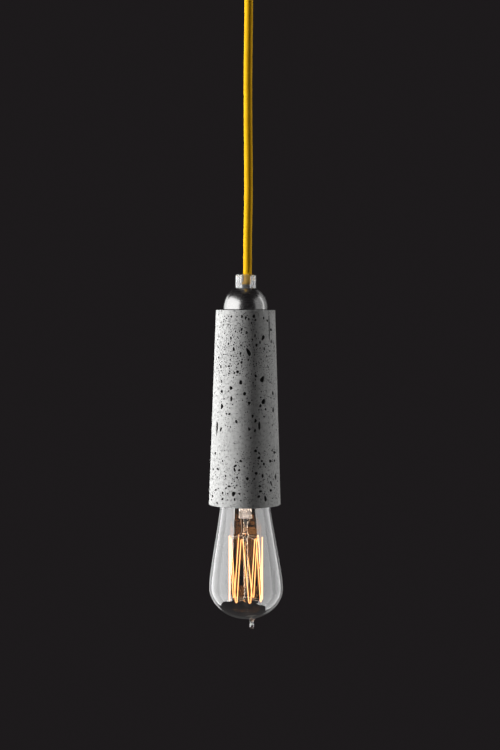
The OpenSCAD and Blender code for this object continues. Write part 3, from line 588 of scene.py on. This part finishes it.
def add_cords():
    tail_route = [
        (0, 0, -16.8 * MM), (0, 0, -22 * MM), (0.2 * MM, 0, -25 * MM), (0.5 * MM, 0, -28.5 * MM),
        (CORD_SHIFT, 0, -31.6 * MM), (CORD_SHIFT, 0, Z_MOUTH),
    ]
    tail, _ = braided("cord_tail_braid", tail_route, "ceiling_mount")
    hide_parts("cord_tail")

    upper, _ = braided("cord_bend_upper", straight(Z_MOUTH, Z_BEND_MID), None)
    bend_end, grip = (CORD_SHIFT, 0, Z_BEND_END), (CORD_SHIFT, 0, Z_GRIP)
    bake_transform(upper)
    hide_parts("cord_bend")
    lower, _ = braided("cord_bend_lower", straight(Z_BEND_MID, Z_BEND_END), None)
    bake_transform(lower)

    free_route = [bend_end]
    free_route += [
        (CORD_SHIFT + x * MM, y * MM, Z_MOUTH - depth * MM)
        for depth, x, y in CORD_SWAY if Z_MOUTH - depth * MM < Z_BEND_END - 5 * MM
    ]
    free_route += [(CORD_SHIFT, 0, Z_GRIP + 8 * MM), grip]
    free, path = braided("pendant_cord", free_route, None)
    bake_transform(free)
    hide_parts("cord")

    end_route = [
        (CORD_SHIFT, 0, Z_GRIP), (CORD_SHIFT, 0, Z_GRIP - 5.4 * MM), (0.5 * MM, 0, Z_DOME + 3.5 * MM),
        (0.2 * MM, 0, Z_DOME), (0, 0, Z_DOME - 3 * MM), (0, 0, Z_DOME - 30 * MM),
        (0, 0, Z_DOME - 70 * MM), (0, 0, Z_DOME - 113.4 * MM),
    ]
    end, _ = braided("lamp_cord_braid", end_route, "lamp")
    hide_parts("lamp_cord_end")


# ---- Concrete sleeve ------------------------------------------------------------------------

SLEEVE_EDGE = 0.35 * MM                            # rounding of the cast edges
SLEEVE_COLUMNS = 144
SLEEVE_ROW = 4 * MM
SLEEVE_FLAT_START = 18.5 * MM                      # the pitted top starts just under the dome's rim
SLEEVE_BORE_R = 25 * MM
SLEEVE_BORE_DEPTH = 14 * MM
SLEEVE_MEAN_R = 28 * MM                            # where a width in the unrolled sheet is true
SLEEVE_ROOF = 14 * MM
SLEEVE_HOLE_R = 5.5 * MM
SLEEVE_BORE_TOP_R = 21 * MM

# The larger pits: degrees from the front towards +X, mm below the top, width and height in mm,
# and how far the pit's upper end leans to +X, in degrees
LARGE_PITS = [
    (6, 36, 2.8, 6.4, -20), (35, 23.6, 2.7, 4.4, 30), (-22, 33.5, 1.9, 3, -25), (2, 19.3, 2, 2.3, 0),
    (-7, 16.5, 1.8, 2, 0), (-9, 37, 1.5, 2.2, 20), (-7, 44.5, 1.7, 1.9, 0), (-28, 24, 1.5, 2.2, 10),
    (-33, 29, 1.4, 2, 0), (16, 5.5, 2.2, 2.6, 0), (19, 8.6, 2, 1.4, 0), (6, 8, 1.4, 2.3, 0),
    (-7, 5.7, 1.5, 2.5, 0), (37, 7, 1.6, 2.3, 0), (57, 17, 2.6, 2.2, -30), (46, 9.2, 2, 1.8, 0),
    (51, 14, 1.3, 24, 0), (57, 27, 2, 3, 10), (18, 22, 1.3, 2.7, 0), (28, 27.4, 1.4, 2.7, 0),
    (21, 30, 2, 2.5, 0), (37, 33, 1.5, 2.5, 0), (-14, 52.5, 2.1, 2.3, 0), (-20, 53.5, 1.6, 1.6, 0),
    (-31, 47.8, 1.8, 1.6, 0), (-58, 41, 2.2, 2.3, 0), (32, 59, 3.6, 4.9, 25), (19, 56, 2, 2, 0),
    (34, 78, 3.7, 3.7, 35), (-8, 61.4, 2.7, 2.9, 20), (-26, 66.3, 2.6, 2.6, 0),
    (-46, 69.6, 2.3, 2.8, 0), (-1, 71, 2.2, 2.9, -30), (58, 71.2, 2.3, 3.4, 0),
    (-25, 75.5, 1.8, 3.3, 0), (7, 79, 2, 2.6, 0), (-45, 82.4, 2.6, 4, 15), (58, 85.3, 2.3, 3.9, 0),
    (-28, 88.5, 2, 1.6, 0), (13, 90, 1.6, 2.6, 0), (18, 94, 1.9, 3, 20), (25, 98.3, 1.9, 6.2, 0),
    (-57, 101, 2.6, 10.6, 0), (-46, 102, 1.9, 3.6, 20), (7, 101, 1.9, 2.4, 0), (17, 102.3, 1.5, 2.5, 0),
    (18, 119.5, 2.4, 2, 40), (24, 125.6, 2.2, 2.5, 0), (29, 128.3, 2, 1.6, 0), (33, 131, 1.7, 2.5, 0),
    (-7, 128, 1.8, 2, 0), (-16, 132.4, 1.5, 3, 40), (-17, 135.6, 1.4, 3, -20), (-60, 123, 2.4, 2.6, 0),
    (59, 122, 2.8, 2.8, 0), (47, 129, 2.4, 2.6, 20), (-51, 136, 2.4, 1.9, 0), (4, 143, 2.2, 2.4, 0),
    (30, 141, 1.5, 3, 0), (-26, 149.8, 2.4, 1.5, 0), (-18, 156, 2.4, 3.6, 20), (-38, 155.8, 1.5, 2, 0),
    (-65, 160, 2.4, 2.4, 0), (-50, 165, 2.1, 1.6, 0), (25, 149.6, 2.2, 1.7, 0), (26, 154, 2.4, 2, 0),
    (23, 158.4, 2.2, 2.1, 0), (35, 160.5, 2, 4.6, -10), (48, 148, 1.3, 4.2, -25),
    (61, 143, 2.2, 4.8, 0), (47, 154, 2.4, 2, 0),
]

BROKEN_RIM = 1.18                                  # a pit's rim breaks away wider than its bubble
PIT_GAP = 0.12 * MM                                # sound concrete left between two pits
PIT_RIM_STEP = 0.36 * MM
PIT_LEAST_DEPTH = 0.25 * MM
PIT_DEPTH_SHARE = 1.3                              # depth by the smaller half width
SIDE_PIT_TRIES = 8200

# Share of small pits by mm below the top: crowded above, nearly smooth at two thirds, then more
PIT_BANDS = [
    (0, 0.2), (6, 0.5), (14, 1.2), (44, 1.1), (56, 0.6), (74, 0.26), (98, 0.2), (106, 0.06),
    (116, 0.1), (124, 0.4), (134, 0.34), (146, 0.55), (160, 0.45), (163, 0.1), (168, 0.05),
]


def sleeve_outline():
    """Outline of the pitted part, from the flat top down the outside and up into the mouth.
    Returns distance along it, radius, height and the outward normal."""
    top_z, end_z = SLEEVE_HIGH.z, SLEEVE_LOW.z
    rows = [(SLEEVE_FLAT_START, top_z, 0, 1)]
    corners = [
        (SLEEVE_TOP_R - SLEEVE_EDGE, top_z - SLEEVE_EDGE, 90, 0),
        (SLEEVE_END_R - SLEEVE_EDGE, end_z + SLEEVE_EDGE, 0, -90),
        (SLEEVE_BORE_R + SLEEVE_EDGE, end_z + SLEEVE_EDGE, -90, -180),
    ]
    for r, z, start, stop in corners:
        for a in np.radians(np.linspace(start, stop, 7)):
            out, up = math.cos(a), math.sin(a)
            rows.append((r + SLEEVE_EDGE * out, z + SLEEVE_EDGE * up, out, up))
    bore_slope = (SLEEVE_BORE_R - SLEEVE_BORE_TOP_R) / (SLEEVE_HIGH.z - SLEEVE_LOW.z - SLEEVE_ROOF)
    rows.append((SLEEVE_BORE_R - bore_slope * SLEEVE_BORE_DEPTH, end_z + SLEEVE_BORE_DEPTH, -1, 0))
    rows = np.array(rows)
    steps = np.linalg.norm(np.diff(rows[:, :2], axis=0), axis=1)
    return np.concatenate([[0], np.cumsum(steps)]), rows


def pit_share(drop, angle):
    """Chance of a small pit, by mm below the top and degrees from the front towards +X."""
    share = float(np.interp(drop, *zip(*PIT_BANDS)))
    crowded = 1.6 if drop > 140 and 0 < angle < 70 else 1.0
    return share * crowded


def choose_pits(side_start):
    """Rows of u, v, half width, half height and lean; v runs along the outline, u round it."""
    chooser = random.Random(11)
    half_turn = math.pi * SLEEVE_MEAN_R
    pits = [
        (math.radians(angle) * SLEEVE_MEAN_R, side_start + drop * MM,
         width / 2 * BROKEN_RIM * MM, height / 2 * BROKEN_RIM * MM, math.radians(lean))
        for angle, drop, width, height, lean in LARGE_PITS
    ]
    room = [(p[0], p[1], max(p[2], p[3])) for p in pits]

    def add(u, v, size):
        half = size / 2 * MM
        tall = half * chooser.uniform(1.0, 1.5)
        lean = chooser.uniform(-0.6, 0.6)
        taken = np.array(room)
        away = np.hypot(taken[:, 0] - u, taken[:, 1] - v) - 1.05 * (taken[:, 2] + tall)
        if away.min() > PIT_GAP and abs(u) < half_turn - 2.5 * MM:
            pits.append((u, v, half, tall, lean))
            room.append((u, v, tall))

    side_length = SLEEVE_HIGH.z - SLEEVE_LOW.z
    for _ in range(SIDE_PIT_TRIES):
        drop = chooser.uniform(0, side_length / MM)
        angle = chooser.uniform(-180, 180)
        if chooser.random() < pit_share(drop, angle):
            size = min(2.4, 0.52 + chooser.expovariate(2.9))
            add(math.radians(angle) * SLEEVE_MEAN_R, side_start + drop * MM, size)
    mouth = side_start + side_length
    for v_from, v_to, tries in ((1 * MM, 6 * MM, 60), (mouth, mouth + 18 * MM, 150)):
        for _ in range(tries):
            u, v = chooser.uniform(-half_turn, half_turn), chooser.uniform(v_from, v_to)
            add(u, v, chooser.uniform(0.6, 1.7))
    return pits


def unrolled_sheet(outline_v, pits):
    """Flat points, rim edges and depths of the pitted sheet, before it is triangulated."""
    half_turn = math.pi * SLEEVE_MEAN_R
    rows = []
    for a, b in zip(outline_v[:-1], outline_v[1:]):
        rows += list(np.linspace(a, b, max(1, round((b - a) / SLEEVE_ROW)), endpoint=False))
    rows.append(outline_v[-1])
    centres = np.array([(p[0], p[1]) for p in pits])
    reach = np.array([1.15 * max(p[2], p[3]) for p in pits])
    points, depth, edges = [], [], []
    for v in rows:
        for u in np.linspace(-half_turn, half_turn, SLEEVE_COLUMNS + 1):
            if (np.hypot(centres[:, 0] - u, centres[:, 1] - v) > reach).all():
                points.append((u, v))
                depth.append((0, 0))
    chooser = random.Random(5)
    for u, v, wide, tall, lean in pits:
        count = int(min(22, max(9, TURN * max(wide, tall) / PIT_RIM_STEP)))
        wobble = ragged_ring(chooser, count)
        deep = PIT_DEPTH_SHARE * min(wide, tall) + PIT_LEAST_DEPTH
        first = len(points)
        for share, sunk in ((1.0, 0.0), (0.9, 0.5), (0.6, 0.9)):
            for k in range(count):
                a = TURN * k / count
                x = wide * share * wobble[k] * math.cos(a)
                y = tall * share * wobble[k] * math.sin(a)
                points.append((
                    u + x * math.cos(lean) - y * math.sin(lean),
                    v + x * math.sin(lean) + y * math.cos(lean),
                ))
                depth.append((deep * sunk, sunk))
        points.append((u, v))
        depth.append((deep, 1.0))
        edges += [(first + k, first + (k + 1) % count) for k in range(count)]
    return points, edges, depth


def ragged_ring(chooser, count):
    """Share of the full radius at each point round a pit's rim."""
    oval, corner = chooser.uniform(0, 0.16), chooser.uniform(0, 0.16)
    oval_at, corner_at = chooser.uniform(0, TURN), chooser.uniform(0, TURN)
    return [
        1 + oval * math.cos(2 * TURN * k / count + oval_at)
        + corner * math.cos(3 * TURN * k / count + corner_at) + chooser.uniform(-0.06, 0.06)
        for k in range(count)
    ]


def add_sleeve():
    outline_v, outline = sleeve_outline()
    side_start = outline_v[1]
    pits = choose_pits(side_start)
    points, rims, depth = unrolled_sheet(outline_v, pits)
    sheet = [Vector(p) for p in points]
    flat, _, faces, origin, _, _ = delaunay_2d_cdt(sheet, rims, [], 0, 1e-9, True)
    # A point without an origin lies where the rims of two pits cross
    depth = np.array([depth[o[0]] if o else (0, 0) for o in origin])
    flat = np.array([tuple(p) for p in flat])
    r, z, nr, nz = (np.interp(flat[:, 1], outline_v, outline[:, k]) for k in range(4))
    length = np.hypot(nr, nz)
    nr, nz = nr / length, nz / length
    angle = flat[:, 0] / SLEEVE_MEAN_R
    r_in, z_in = r - nr * depth[:, 0], z - nz * depth[:, 0]
    vertices = np.stack([r_in * np.sin(angle), -r_in * np.cos(angle), z_in], axis=1)
    normals = np.stack([nr * np.sin(angle), -nr * np.cos(angle), nz], axis=1)

    # The rest of the casting: roof underside, hole and bore, turned from a plain outline
    hidden = [
        (SLEEVE_FLAT_START, SLEEVE_HIGH.z), (SLEEVE_HOLE_R, SLEEVE_HIGH.z),
        (SLEEVE_HOLE_R, SLEEVE_HIGH.z - SLEEVE_ROOF),
        (SLEEVE_BORE_TOP_R - 2 * MM, SLEEVE_HIGH.z - SLEEVE_ROOF),
        (SLEEVE_BORE_TOP_R, SLEEVE_HIGH.z - SLEEVE_ROOF - 2 * MM),
        tuple(outline[-1][:2]),
    ]
    turn = -np.pi + np.arange(SLEEVE_COLUMNS) * TURN / SLEEVE_COLUMNS
    lathe_points = [(hr * math.sin(a), -hr * math.cos(a), hz) for hr, hz in hidden for a in turn]
    first = len(vertices)
    piece = new_piece(
        "concrete_sleeve_cast", list(vertices) + lathe_points,
        [tuple(reversed(f)) for f in faces] + tube_faces(len(hidden), SLEEVE_COLUMNS, first),
    )
    mesh = piece.data
    pit = mesh.attributes.new("pit", "FLOAT", "POINT")
    sunk = np.concatenate([depth[:, 1], np.zeros(len(lathe_points))])
    pit.data.foreach_set("value", sunk.astype(np.float32))
    sleeve_normals(mesh, normals, depth[:, 0], first)
    weld(mesh)
    finish_piece(piece, "concrete", "lamp", "concrete_sleeve")


def weld(mesh, gap=2e-7):
    """Joins the points that lie together, where the sheet closes and meets the turned part."""
    work = bmesh.new()
    work.from_mesh(mesh)
    bmesh.ops.remove_doubles(work, verts=work.verts, dist=gap)
    work.to_mesh(mesh)
    work.free()


def sleeve_normals(mesh, normals, depth, outer_count):
    """The outside keeps the normals of a true cone, so that only the pits break the light."""
    corners = np.array([c.vector for c in mesh.corner_normals])
    loop_vertex = np.zeros(len(mesh.loops), np.int32)
    mesh.loops.foreach_get("vertex_index", loop_vertex)
    flat = np.zeros(len(mesh.polygons), bool)
    for i, face in enumerate(mesh.polygons):
        members = np.array(face.vertices)
        flat[i] = members.max() < outer_count and depth[members].max() == 0
        if flat[i]:
            span = slice(face.loop_start, face.loop_start + face.loop_total)
            corners[span] = normals[loop_vertex[span]]
    mesh.normals_split_custom_set([tuple(c) for c in corners])


# ---- Bulb -----------------------------------------------------------------------------------

Z_CAP_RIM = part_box("bulb_screw_shell")[0].z
TIP_LENGTH = 8.8 * MM
Z_GLASS_END = GLASS_LOW.z + TIP_LENGTH
GLASS_CROWN = 26.9 * MM                            # from the widest ring to the end of the glass
Z_WIDEST = Z_GLASS_END + GLASS_CROWN
GLASS_WALL = 0.8 * MM
NECK_R = 11.3 * MM
NECK_INSERT = 9 * MM
SHOULDER_R = 21.5 * MM
TIP_OFFSET = 4.6 * MM
TIP_FOOT_R = 5.2 * MM                              # where the crown starts to run out into the tip
GLASS_SIDES = 160

# The pulled tip: radius, and height over the end of the glass, in mm
TIP_OUTLINE = [
    (3.6, -0.35), (2.6, -1.0), (1.85, -2.1), (1.5, -3.3), (1.62, -4.4), (2.0, -5.4), (2.1, -6.2),
    (1.85, -7.3), (1.2, -8.3), (0.5, -8.72),
]


def glass_side(inset):
    """(radius, z) from the neck's top to the widest ring, moved inwards by `inset`."""
    end = SLEEVE_LOW.z
    neck = [(NECK_R - inset, Z_CAP_RIM + NECK_INSERT), (NECK_R - inset, Z_CAP_RIM - 0.2 * MM)]
    shoulder = bezier(
        (NECK_R + 1.3 * MM - inset, Z_CAP_RIM - 0.8 * MM), (16.6 * MM - inset, Z_CAP_RIM - 3 * MM),
        (19.4 * MM - inset, end + 10 * MM), (SHOULDER_R - inset, end), 14,
    )
    body = bezier(
        (SHOULDER_R - inset, end), (24 * MM - inset, end - 22 * MM),
        (GLASS_R - inset, Z_WIDEST + 14 * MM), (GLASS_R - inset, Z_WIDEST), 48,
    )
    return np.vstack([neck, shoulder, body[1:]])


def crown_height(x, y, inset):
    """Height of the glass crown under a point of its plan."""
    share = np.clip((x * x + y * y) / (GLASS_R - inset) ** 2, 0, 1)
    return Z_WIDEST - (GLASS_CROWN - inset) * np.sqrt(1 - share)


def ring_at(radius, shift, heights):
    """A round ring, moved by `shift` along X, with each point's height worked out from x and y."""
    angle = np.arange(GLASS_SIDES) * TURN / GLASS_SIDES
    x, y = shift + radius * np.cos(angle), radius * np.sin(angle)
    return np.stack([x, y, heights(x, y)], axis=1)


def glass_rings(inset, with_tip):
    rings = [ring_at(r, 0, lambda x, y, z=z: np.full_like(x, z)) for r, z in glass_side(inset)]
    last_plain = 10 * MM if with_tip else 0.6 * MM
    top_angle = math.acos(last_plain / (GLASS_R - inset))
    for a in np.linspace(0, top_angle, 40)[1:]:
        radius = (GLASS_R - inset) * math.cos(a)
        rings.append(ring_at(radius, 0, lambda x, y: crown_height(x, y, inset)))
    if with_tip:
        for t in np.linspace(0, 1, 8)[1:]:
            radius = last_plain + (TIP_FOOT_R - last_plain) * t
            rings.append(ring_at(radius, TIP_OFFSET * t, lambda x, y: crown_height(x, y, inset)))
        rings += tip_rings()
    return rings


def tip_rings():
    """From the crown down the drawn-out drop; the crown's tilt fades out along the foot."""
    foot_z = float(crown_height(np.array([TIP_OFFSET]), np.array([0.0]), 0)[0])
    outline = [(TIP_FOOT_R, foot_z)] + [(r * MM, Z_GLASS_END + z * MM) for r, z in TIP_OUTLINE]
    outline, _ = smooth_path([(r, 0, z) for r, z in outline], 0.3 * MM)
    rings = []
    for r, _, z in outline[1:]:
        near_foot = z > foot_z - 3 * MM
        level = np.clip((r - 1.8 * MM) / (TIP_FOOT_R - 1.8 * MM), 0, 1) if near_foot else 0
        rings.append(ring_at(r, TIP_OFFSET, lambda x, y: z + level * (crown_height(x, y, 0) - foot_z)))
    return rings


BULB_LEAN = 0.0165                                 # sideways per metre down: it stands askew in its cap


def finish_bulb_piece(piece, material, node):
    for vertex in piece.data.vertices:
        vertex.co.x += BULB_LEAN * max(0, Z_CAP_RIM - vertex.co.z)
    finish_piece(piece, material, "bulb", node)


def add_bulb_glass():
    outer, inner = glass_rings(0, True), glass_rings(GLASS_WALL, False)
    vertices = np.vstack(outer + inner)
    count_out, count_in = len(outer), len(inner)
    start_in = count_out * GLASS_SIDES
    # Both surfaces run downwards, so the outside's faces are turned over to look outwards
    faces = [tuple(reversed(f)) for f in tube_faces(count_out, GLASS_SIDES)]
    faces += tube_faces(count_in, GLASS_SIDES, start_in)
    for k in range(GLASS_SIDES):
        after = (k + 1) % GLASS_SIDES
        faces.append((k, after, start_in + after, start_in + k))
    last_out, last_in = start_in - GLASS_SIDES, len(vertices) - GLASS_SIDES
    faces.append(tuple(range(last_out + GLASS_SIDES - 1, last_out - 1, -1)))
    faces.append(tuple(range(last_in, last_in + GLASS_SIDES)))
    piece = new_piece("bulb_glass_blown", vertices, faces)
    finish_bulb_piece(piece, "bulb_glass", "bulb_glass")


# ---- Glass mount, leads and filament inside the bulb ----------------------------------------

STEM_SIDES = 72
STEM_TUBE_R = 5.4 * MM
STEM_WALL = 0.9 * MM
STEM_FLARE_R = NECK_R - GLASS_WALL - 0.1 * MM
Z_STEM_TOP = Z_CAP_RIM + 5 * MM
Z_PINCH = SLEEVE_LOW.z - 2 * MM
Z_PINCH_END = Z_PINCH - 10.4 * MM
PINCH_WIDE = 5.6 * MM                              # half the width of the flat pinch
PINCH_DEEP = 2.3 * MM
DENT_DEPTH = 0.55 * MM
DENT_SCALE = 420                                   # dents per metre round the pinch
LEAD_R = 0.35 * MM


def squared_ring(wide, deep, power, z):
    """A ring of half widths wide and deep: round at power 2, a rounded rectangle above that."""
    angle = np.arange(STEM_SIDES) * TURN / STEM_SIDES
    c, s = np.cos(angle), np.sin(angle)
    reach = (np.abs(c) ** power + np.abs(s) ** power) ** (-1 / power)
    return np.stack([wide * reach * c, deep * reach * s, np.full_like(c, z)], axis=1)


def press_marks(points):
    """Moves the points by the uneven dents that the pressing jaws leave round the pinch."""
    for p in points:
        near = np.clip((Z_PINCH - 1 * MM - p[2]) / (2 * MM), 0, 1)
        dent = DENT_DEPTH * near * noise(Vector(p) * DENT_SCALE)
        p[0] += dent * np.sign(p[0])
        p[1] += 1.6 * dent * np.sign(p[1])


def stem_outline():
    """Rings down the outside, from the flare in the neck to the lower end of the pinch."""
    tube, top = STEM_TUBE_R, Z_STEM_TOP
    flare = bezier((STEM_FLARE_R, 0, top), (6.6 * MM, 0, top - 2 * MM), (tube, 0, top - 5 * MM),
                   (tube, 0, top - 9 * MM), 12)
    rings = [squared_ring(r, r, 2, z) for r, _, z in flare]
    rings.append(squared_ring(tube, tube, 2, Z_PINCH + 1 * MM))
    for t in np.linspace(0, 1, 9):
        ease = t * t * (3 - 2 * t)
        deep = tube + (PINCH_DEEP - tube) * ease
        wide = tube + (PINCH_WIDE - tube) * ease
        rings.append(squared_ring(wide, deep, 2 + 3 * ease, Z_PINCH - 4 * MM * t))
    for z in np.linspace(Z_PINCH - 4.4 * MM, Z_PINCH_END + 0.6 * MM, 14):
        rings.append(squared_ring(PINCH_WIDE, PINCH_DEEP, 5, z))
    for share, rise in ((0.97, 0.25), (0.88, 0.05), (0.6, 0)):
        rings.append(squared_ring(PINCH_WIDE * share, PINCH_DEEP * share, 5, Z_PINCH_END + rise * MM))
    return rings


def stem_bore():
    """Rings up the inside, from the closed end in the pinch to the flare."""
    bore, top = STEM_TUBE_R - STEM_WALL, Z_STEM_TOP
    rings = [
        squared_ring(bore * wide, bore * deep, 2, Z_PINCH + z * MM)
        for wide, deep, z in ((0.4, 0.1, -2.6), (0.8, 0.3, -2.2), (1, 0.7, -0.8), (1, 1, 1))
    ]
    rings.append(squared_ring(bore, bore, 2, top - 9 * MM))
    rings.append(squared_ring(STEM_FLARE_R - STEM_WALL, STEM_FLARE_R - STEM_WALL, 2, top))
    return rings


def skinned(name, rings):
    """A closed solid from rings of equal count, the first and last filled in."""
    sides = len(rings[0])
    faces = tube_faces(len(rings), sides)
    faces.append(tuple(range(sides)))
    faces.append(tuple(range((len(rings) - 1) * sides, len(rings) * sides)))
    piece = new_piece(name, np.vstack(rings), faces)
    work = bmesh.new()
    work.from_mesh(piece.data)
    bmesh.ops.recalc_face_normals(work, faces=work.faces)
    work.to_mesh(piece.data)
    work.free()
    return piece


def add_mount():
    stem_rings = np.array(stem_outline() + stem_bore())
    press_marks(stem_rings.reshape(-1, 3))
    stem = skinned("bulb_mount", stem_rings)
    finish_bulb_piece(stem, "pressed_glass", "bulb_stem")

    button, half = 3.3 * MM, 3.2 * MM
    outline = [(ROD_R * 0.7, Z_PINCH_END + 0.4 * MM), (ROD_R, Z_PINCH_END - 0.4 * MM)]
    for middle in (Z_CAGE_TOP + 1.5 * MM, Z_CAGE_END + 1 * MM):
        for a in np.radians(np.linspace(50, -50, 13)):
            outline.append((button * math.cos(a), middle + half * math.sin(a)))
    outline += [(1.6 * MM, Z_CAGE_END - 1.9 * MM), (0.6 * MM, Z_CAGE_END - 2.2 * MM)]
    rod = skinned("bulb_rod", [squared_ring(r, r, 2, z) for r, z in outline])
    finish_bulb_piece(rod, "bulb_glass", "glass_rod")

    routes = []
    for side, hook in ((-1, -0.5), (1, CAGE_HOOKS - 0.5)):
        angle = cage_angle(hook)
        routes.append([
            (side * 2 * MM, 0, Z_STEM_TOP), (side * 2.6 * MM, 0, Z_STEM_TOP - 8 * MM),
            (side * 3.4 * MM, 0, Z_PINCH), (side * 3.6 * MM, 0, Z_PINCH_END - 0.6 * MM),
            cage_point(angle, 8 * MM, Z_CAGE_TOP + 4 * MM),
            cage_point(angle, CAGE_R - 1.6 * MM, Z_CAGE_TOP + 0.6 * MM),
            cage_point(angle, CAGE_R, Z_CAGE_TOP + 0.4 * MM),
        ])
    leads = solid_tube("bulb_leads", routes, LEAD_R, 10, 0.5 * MM)
    finish_bulb_piece(leads, "nickel_wire", "lead_in_wires")


CAGE_HOOKS = 7
CAGE_STEP = 360 / (CAGE_HOOKS + 0.5)
CAGE_TURN = 138                                    # leaves the gap between the two leads at the back
CAGE_R = 14.6 * MM
Z_CAGE_TOP = -512.1 * MM
Z_CAGE_END = -567.3 * MM
FILAMENT_R = 0.3 * MM
FILAMENT_COIL_R = 0.45 * MM                        # outside radius of the filament's fine coil
ANCHOR_R = 0.3 * MM
ROD_R = 2.3 * MM
HOOK_INSET = FILAMENT_R + ANCHOR_R + 0.05 * MM
BEND_LEAN = 3.4                                    # degrees either side of a hook


def cage_angle(i):
    return CAGE_TURN + i * CAGE_STEP


def cage_point(angle, r, z):
    a = math.radians(angle)
    return (r * math.cos(a), r * math.sin(a), z)


def cage_bend(angle, z, up):
    """The filament's turn round one hook; up is 1 where its legs rise from it, else -1."""
    return [
        cage_point(angle + lean * BEND_LEAN, CAGE_R, z + up * rise * MM)
        for lean, rise in ((-1, 1.6), (-0.7, 0.4), (0, 0), (0.7, 0.4), (1, 1.6))
    ]


def add_filament():
    route = [cage_point(cage_angle(-0.5), CAGE_R, Z_CAGE_TOP)]
    for i in range(CAGE_HOOKS):
        route += cage_bend(cage_angle(i), Z_CAGE_END, 1)
        if i < CAGE_HOOKS - 1:
            route += cage_bend(cage_angle(i + 0.5), Z_CAGE_TOP, -1)
    route.append(cage_point(cage_angle(CAGE_HOOKS - 0.5), CAGE_R, Z_CAGE_TOP))
    piece = solid_tube("filament_cage", [straight_legs(route)], FILAMENT_COIL_R, 8, 0.6 * MM)
    finish_bulb_piece(piece, "filament", "filament")


def straight_legs(route):
    """Adds points to the long legs, so that the smooth curve stays straight between the hooks."""
    full = []
    for a, b in zip(route[:-1], route[1:]):
        a, b = Vector(a), Vector(b)
        count = 6 if (b - a).length > 10 * MM else 1
        full += [tuple(a.lerp(b, k / count)) for k in range(count)]
    return full + [route[-1]]


def anchor_route(angle, z_root, z_hook, tip):
    """From the rod's bead out to a hook, whose end turns up or down by `tip`."""
    return [
        cage_point(angle, ROD_R, z_root), cage_point(angle, 7 * MM, (z_root + z_hook) / 2),
        cage_point(angle, CAGE_R - 0.9 * MM, z_hook), cage_point(angle, CAGE_R + 0.4 * MM, z_hook),
        cage_point(angle, CAGE_R + 1 * MM, z_hook + tip),
    ]


def add_anchors():
    upper = [
        anchor_route(cage_angle(i + 0.5), Z_CAGE_TOP + 1.5 * MM, Z_CAGE_TOP - HOOK_INSET, 0.8 * MM)
        for i in range(CAGE_HOOKS - 1)
    ]
    lower = [
        anchor_route(cage_angle(i), Z_CAGE_END + 1 * MM, Z_CAGE_END + HOOK_INSET, -0.8 * MM)
        for i in range(CAGE_HOOKS)
    ]
    rows = (("anchors_upper", upper, "top_anchors"), ("anchors_lower", lower, "bottom_anchors"))
    for name, routes, node in rows:
        piece = solid_tube(name, routes, ANCHOR_R, 8, 0.5 * MM)
        finish_bulb_piece(piece, "nickel_wire", node)


# ---- Floor ------------------------------------------------------------------------------------

FLOOR_Z = -1.9
FLOOR_R = 3.9


def add_floor():
    """A round pale floor far below the lamp."""
    sides = 96
    angles = [TURN * k / sides for k in range(sides)]
    vertices = [(0, 0, FLOOR_Z)]
    vertices += [(FLOOR_R * math.cos(a), FLOOR_R * math.sin(a), FLOOR_Z) for a in angles]
    faces = [(0, 1 + k, 1 + (k + 1) % sides) for k in range(sides)]
    floor = new_piece("floor", vertices, faces, smooth=False)
    floor.data.materials.append(pale_floor())


add_camera()
add_world()
add_floor()
paint_cad_nodes()
add_cords()
add_sleeve()
add_bulb_glass()
add_mount()
add_filament()
add_anchors()
add_lights()
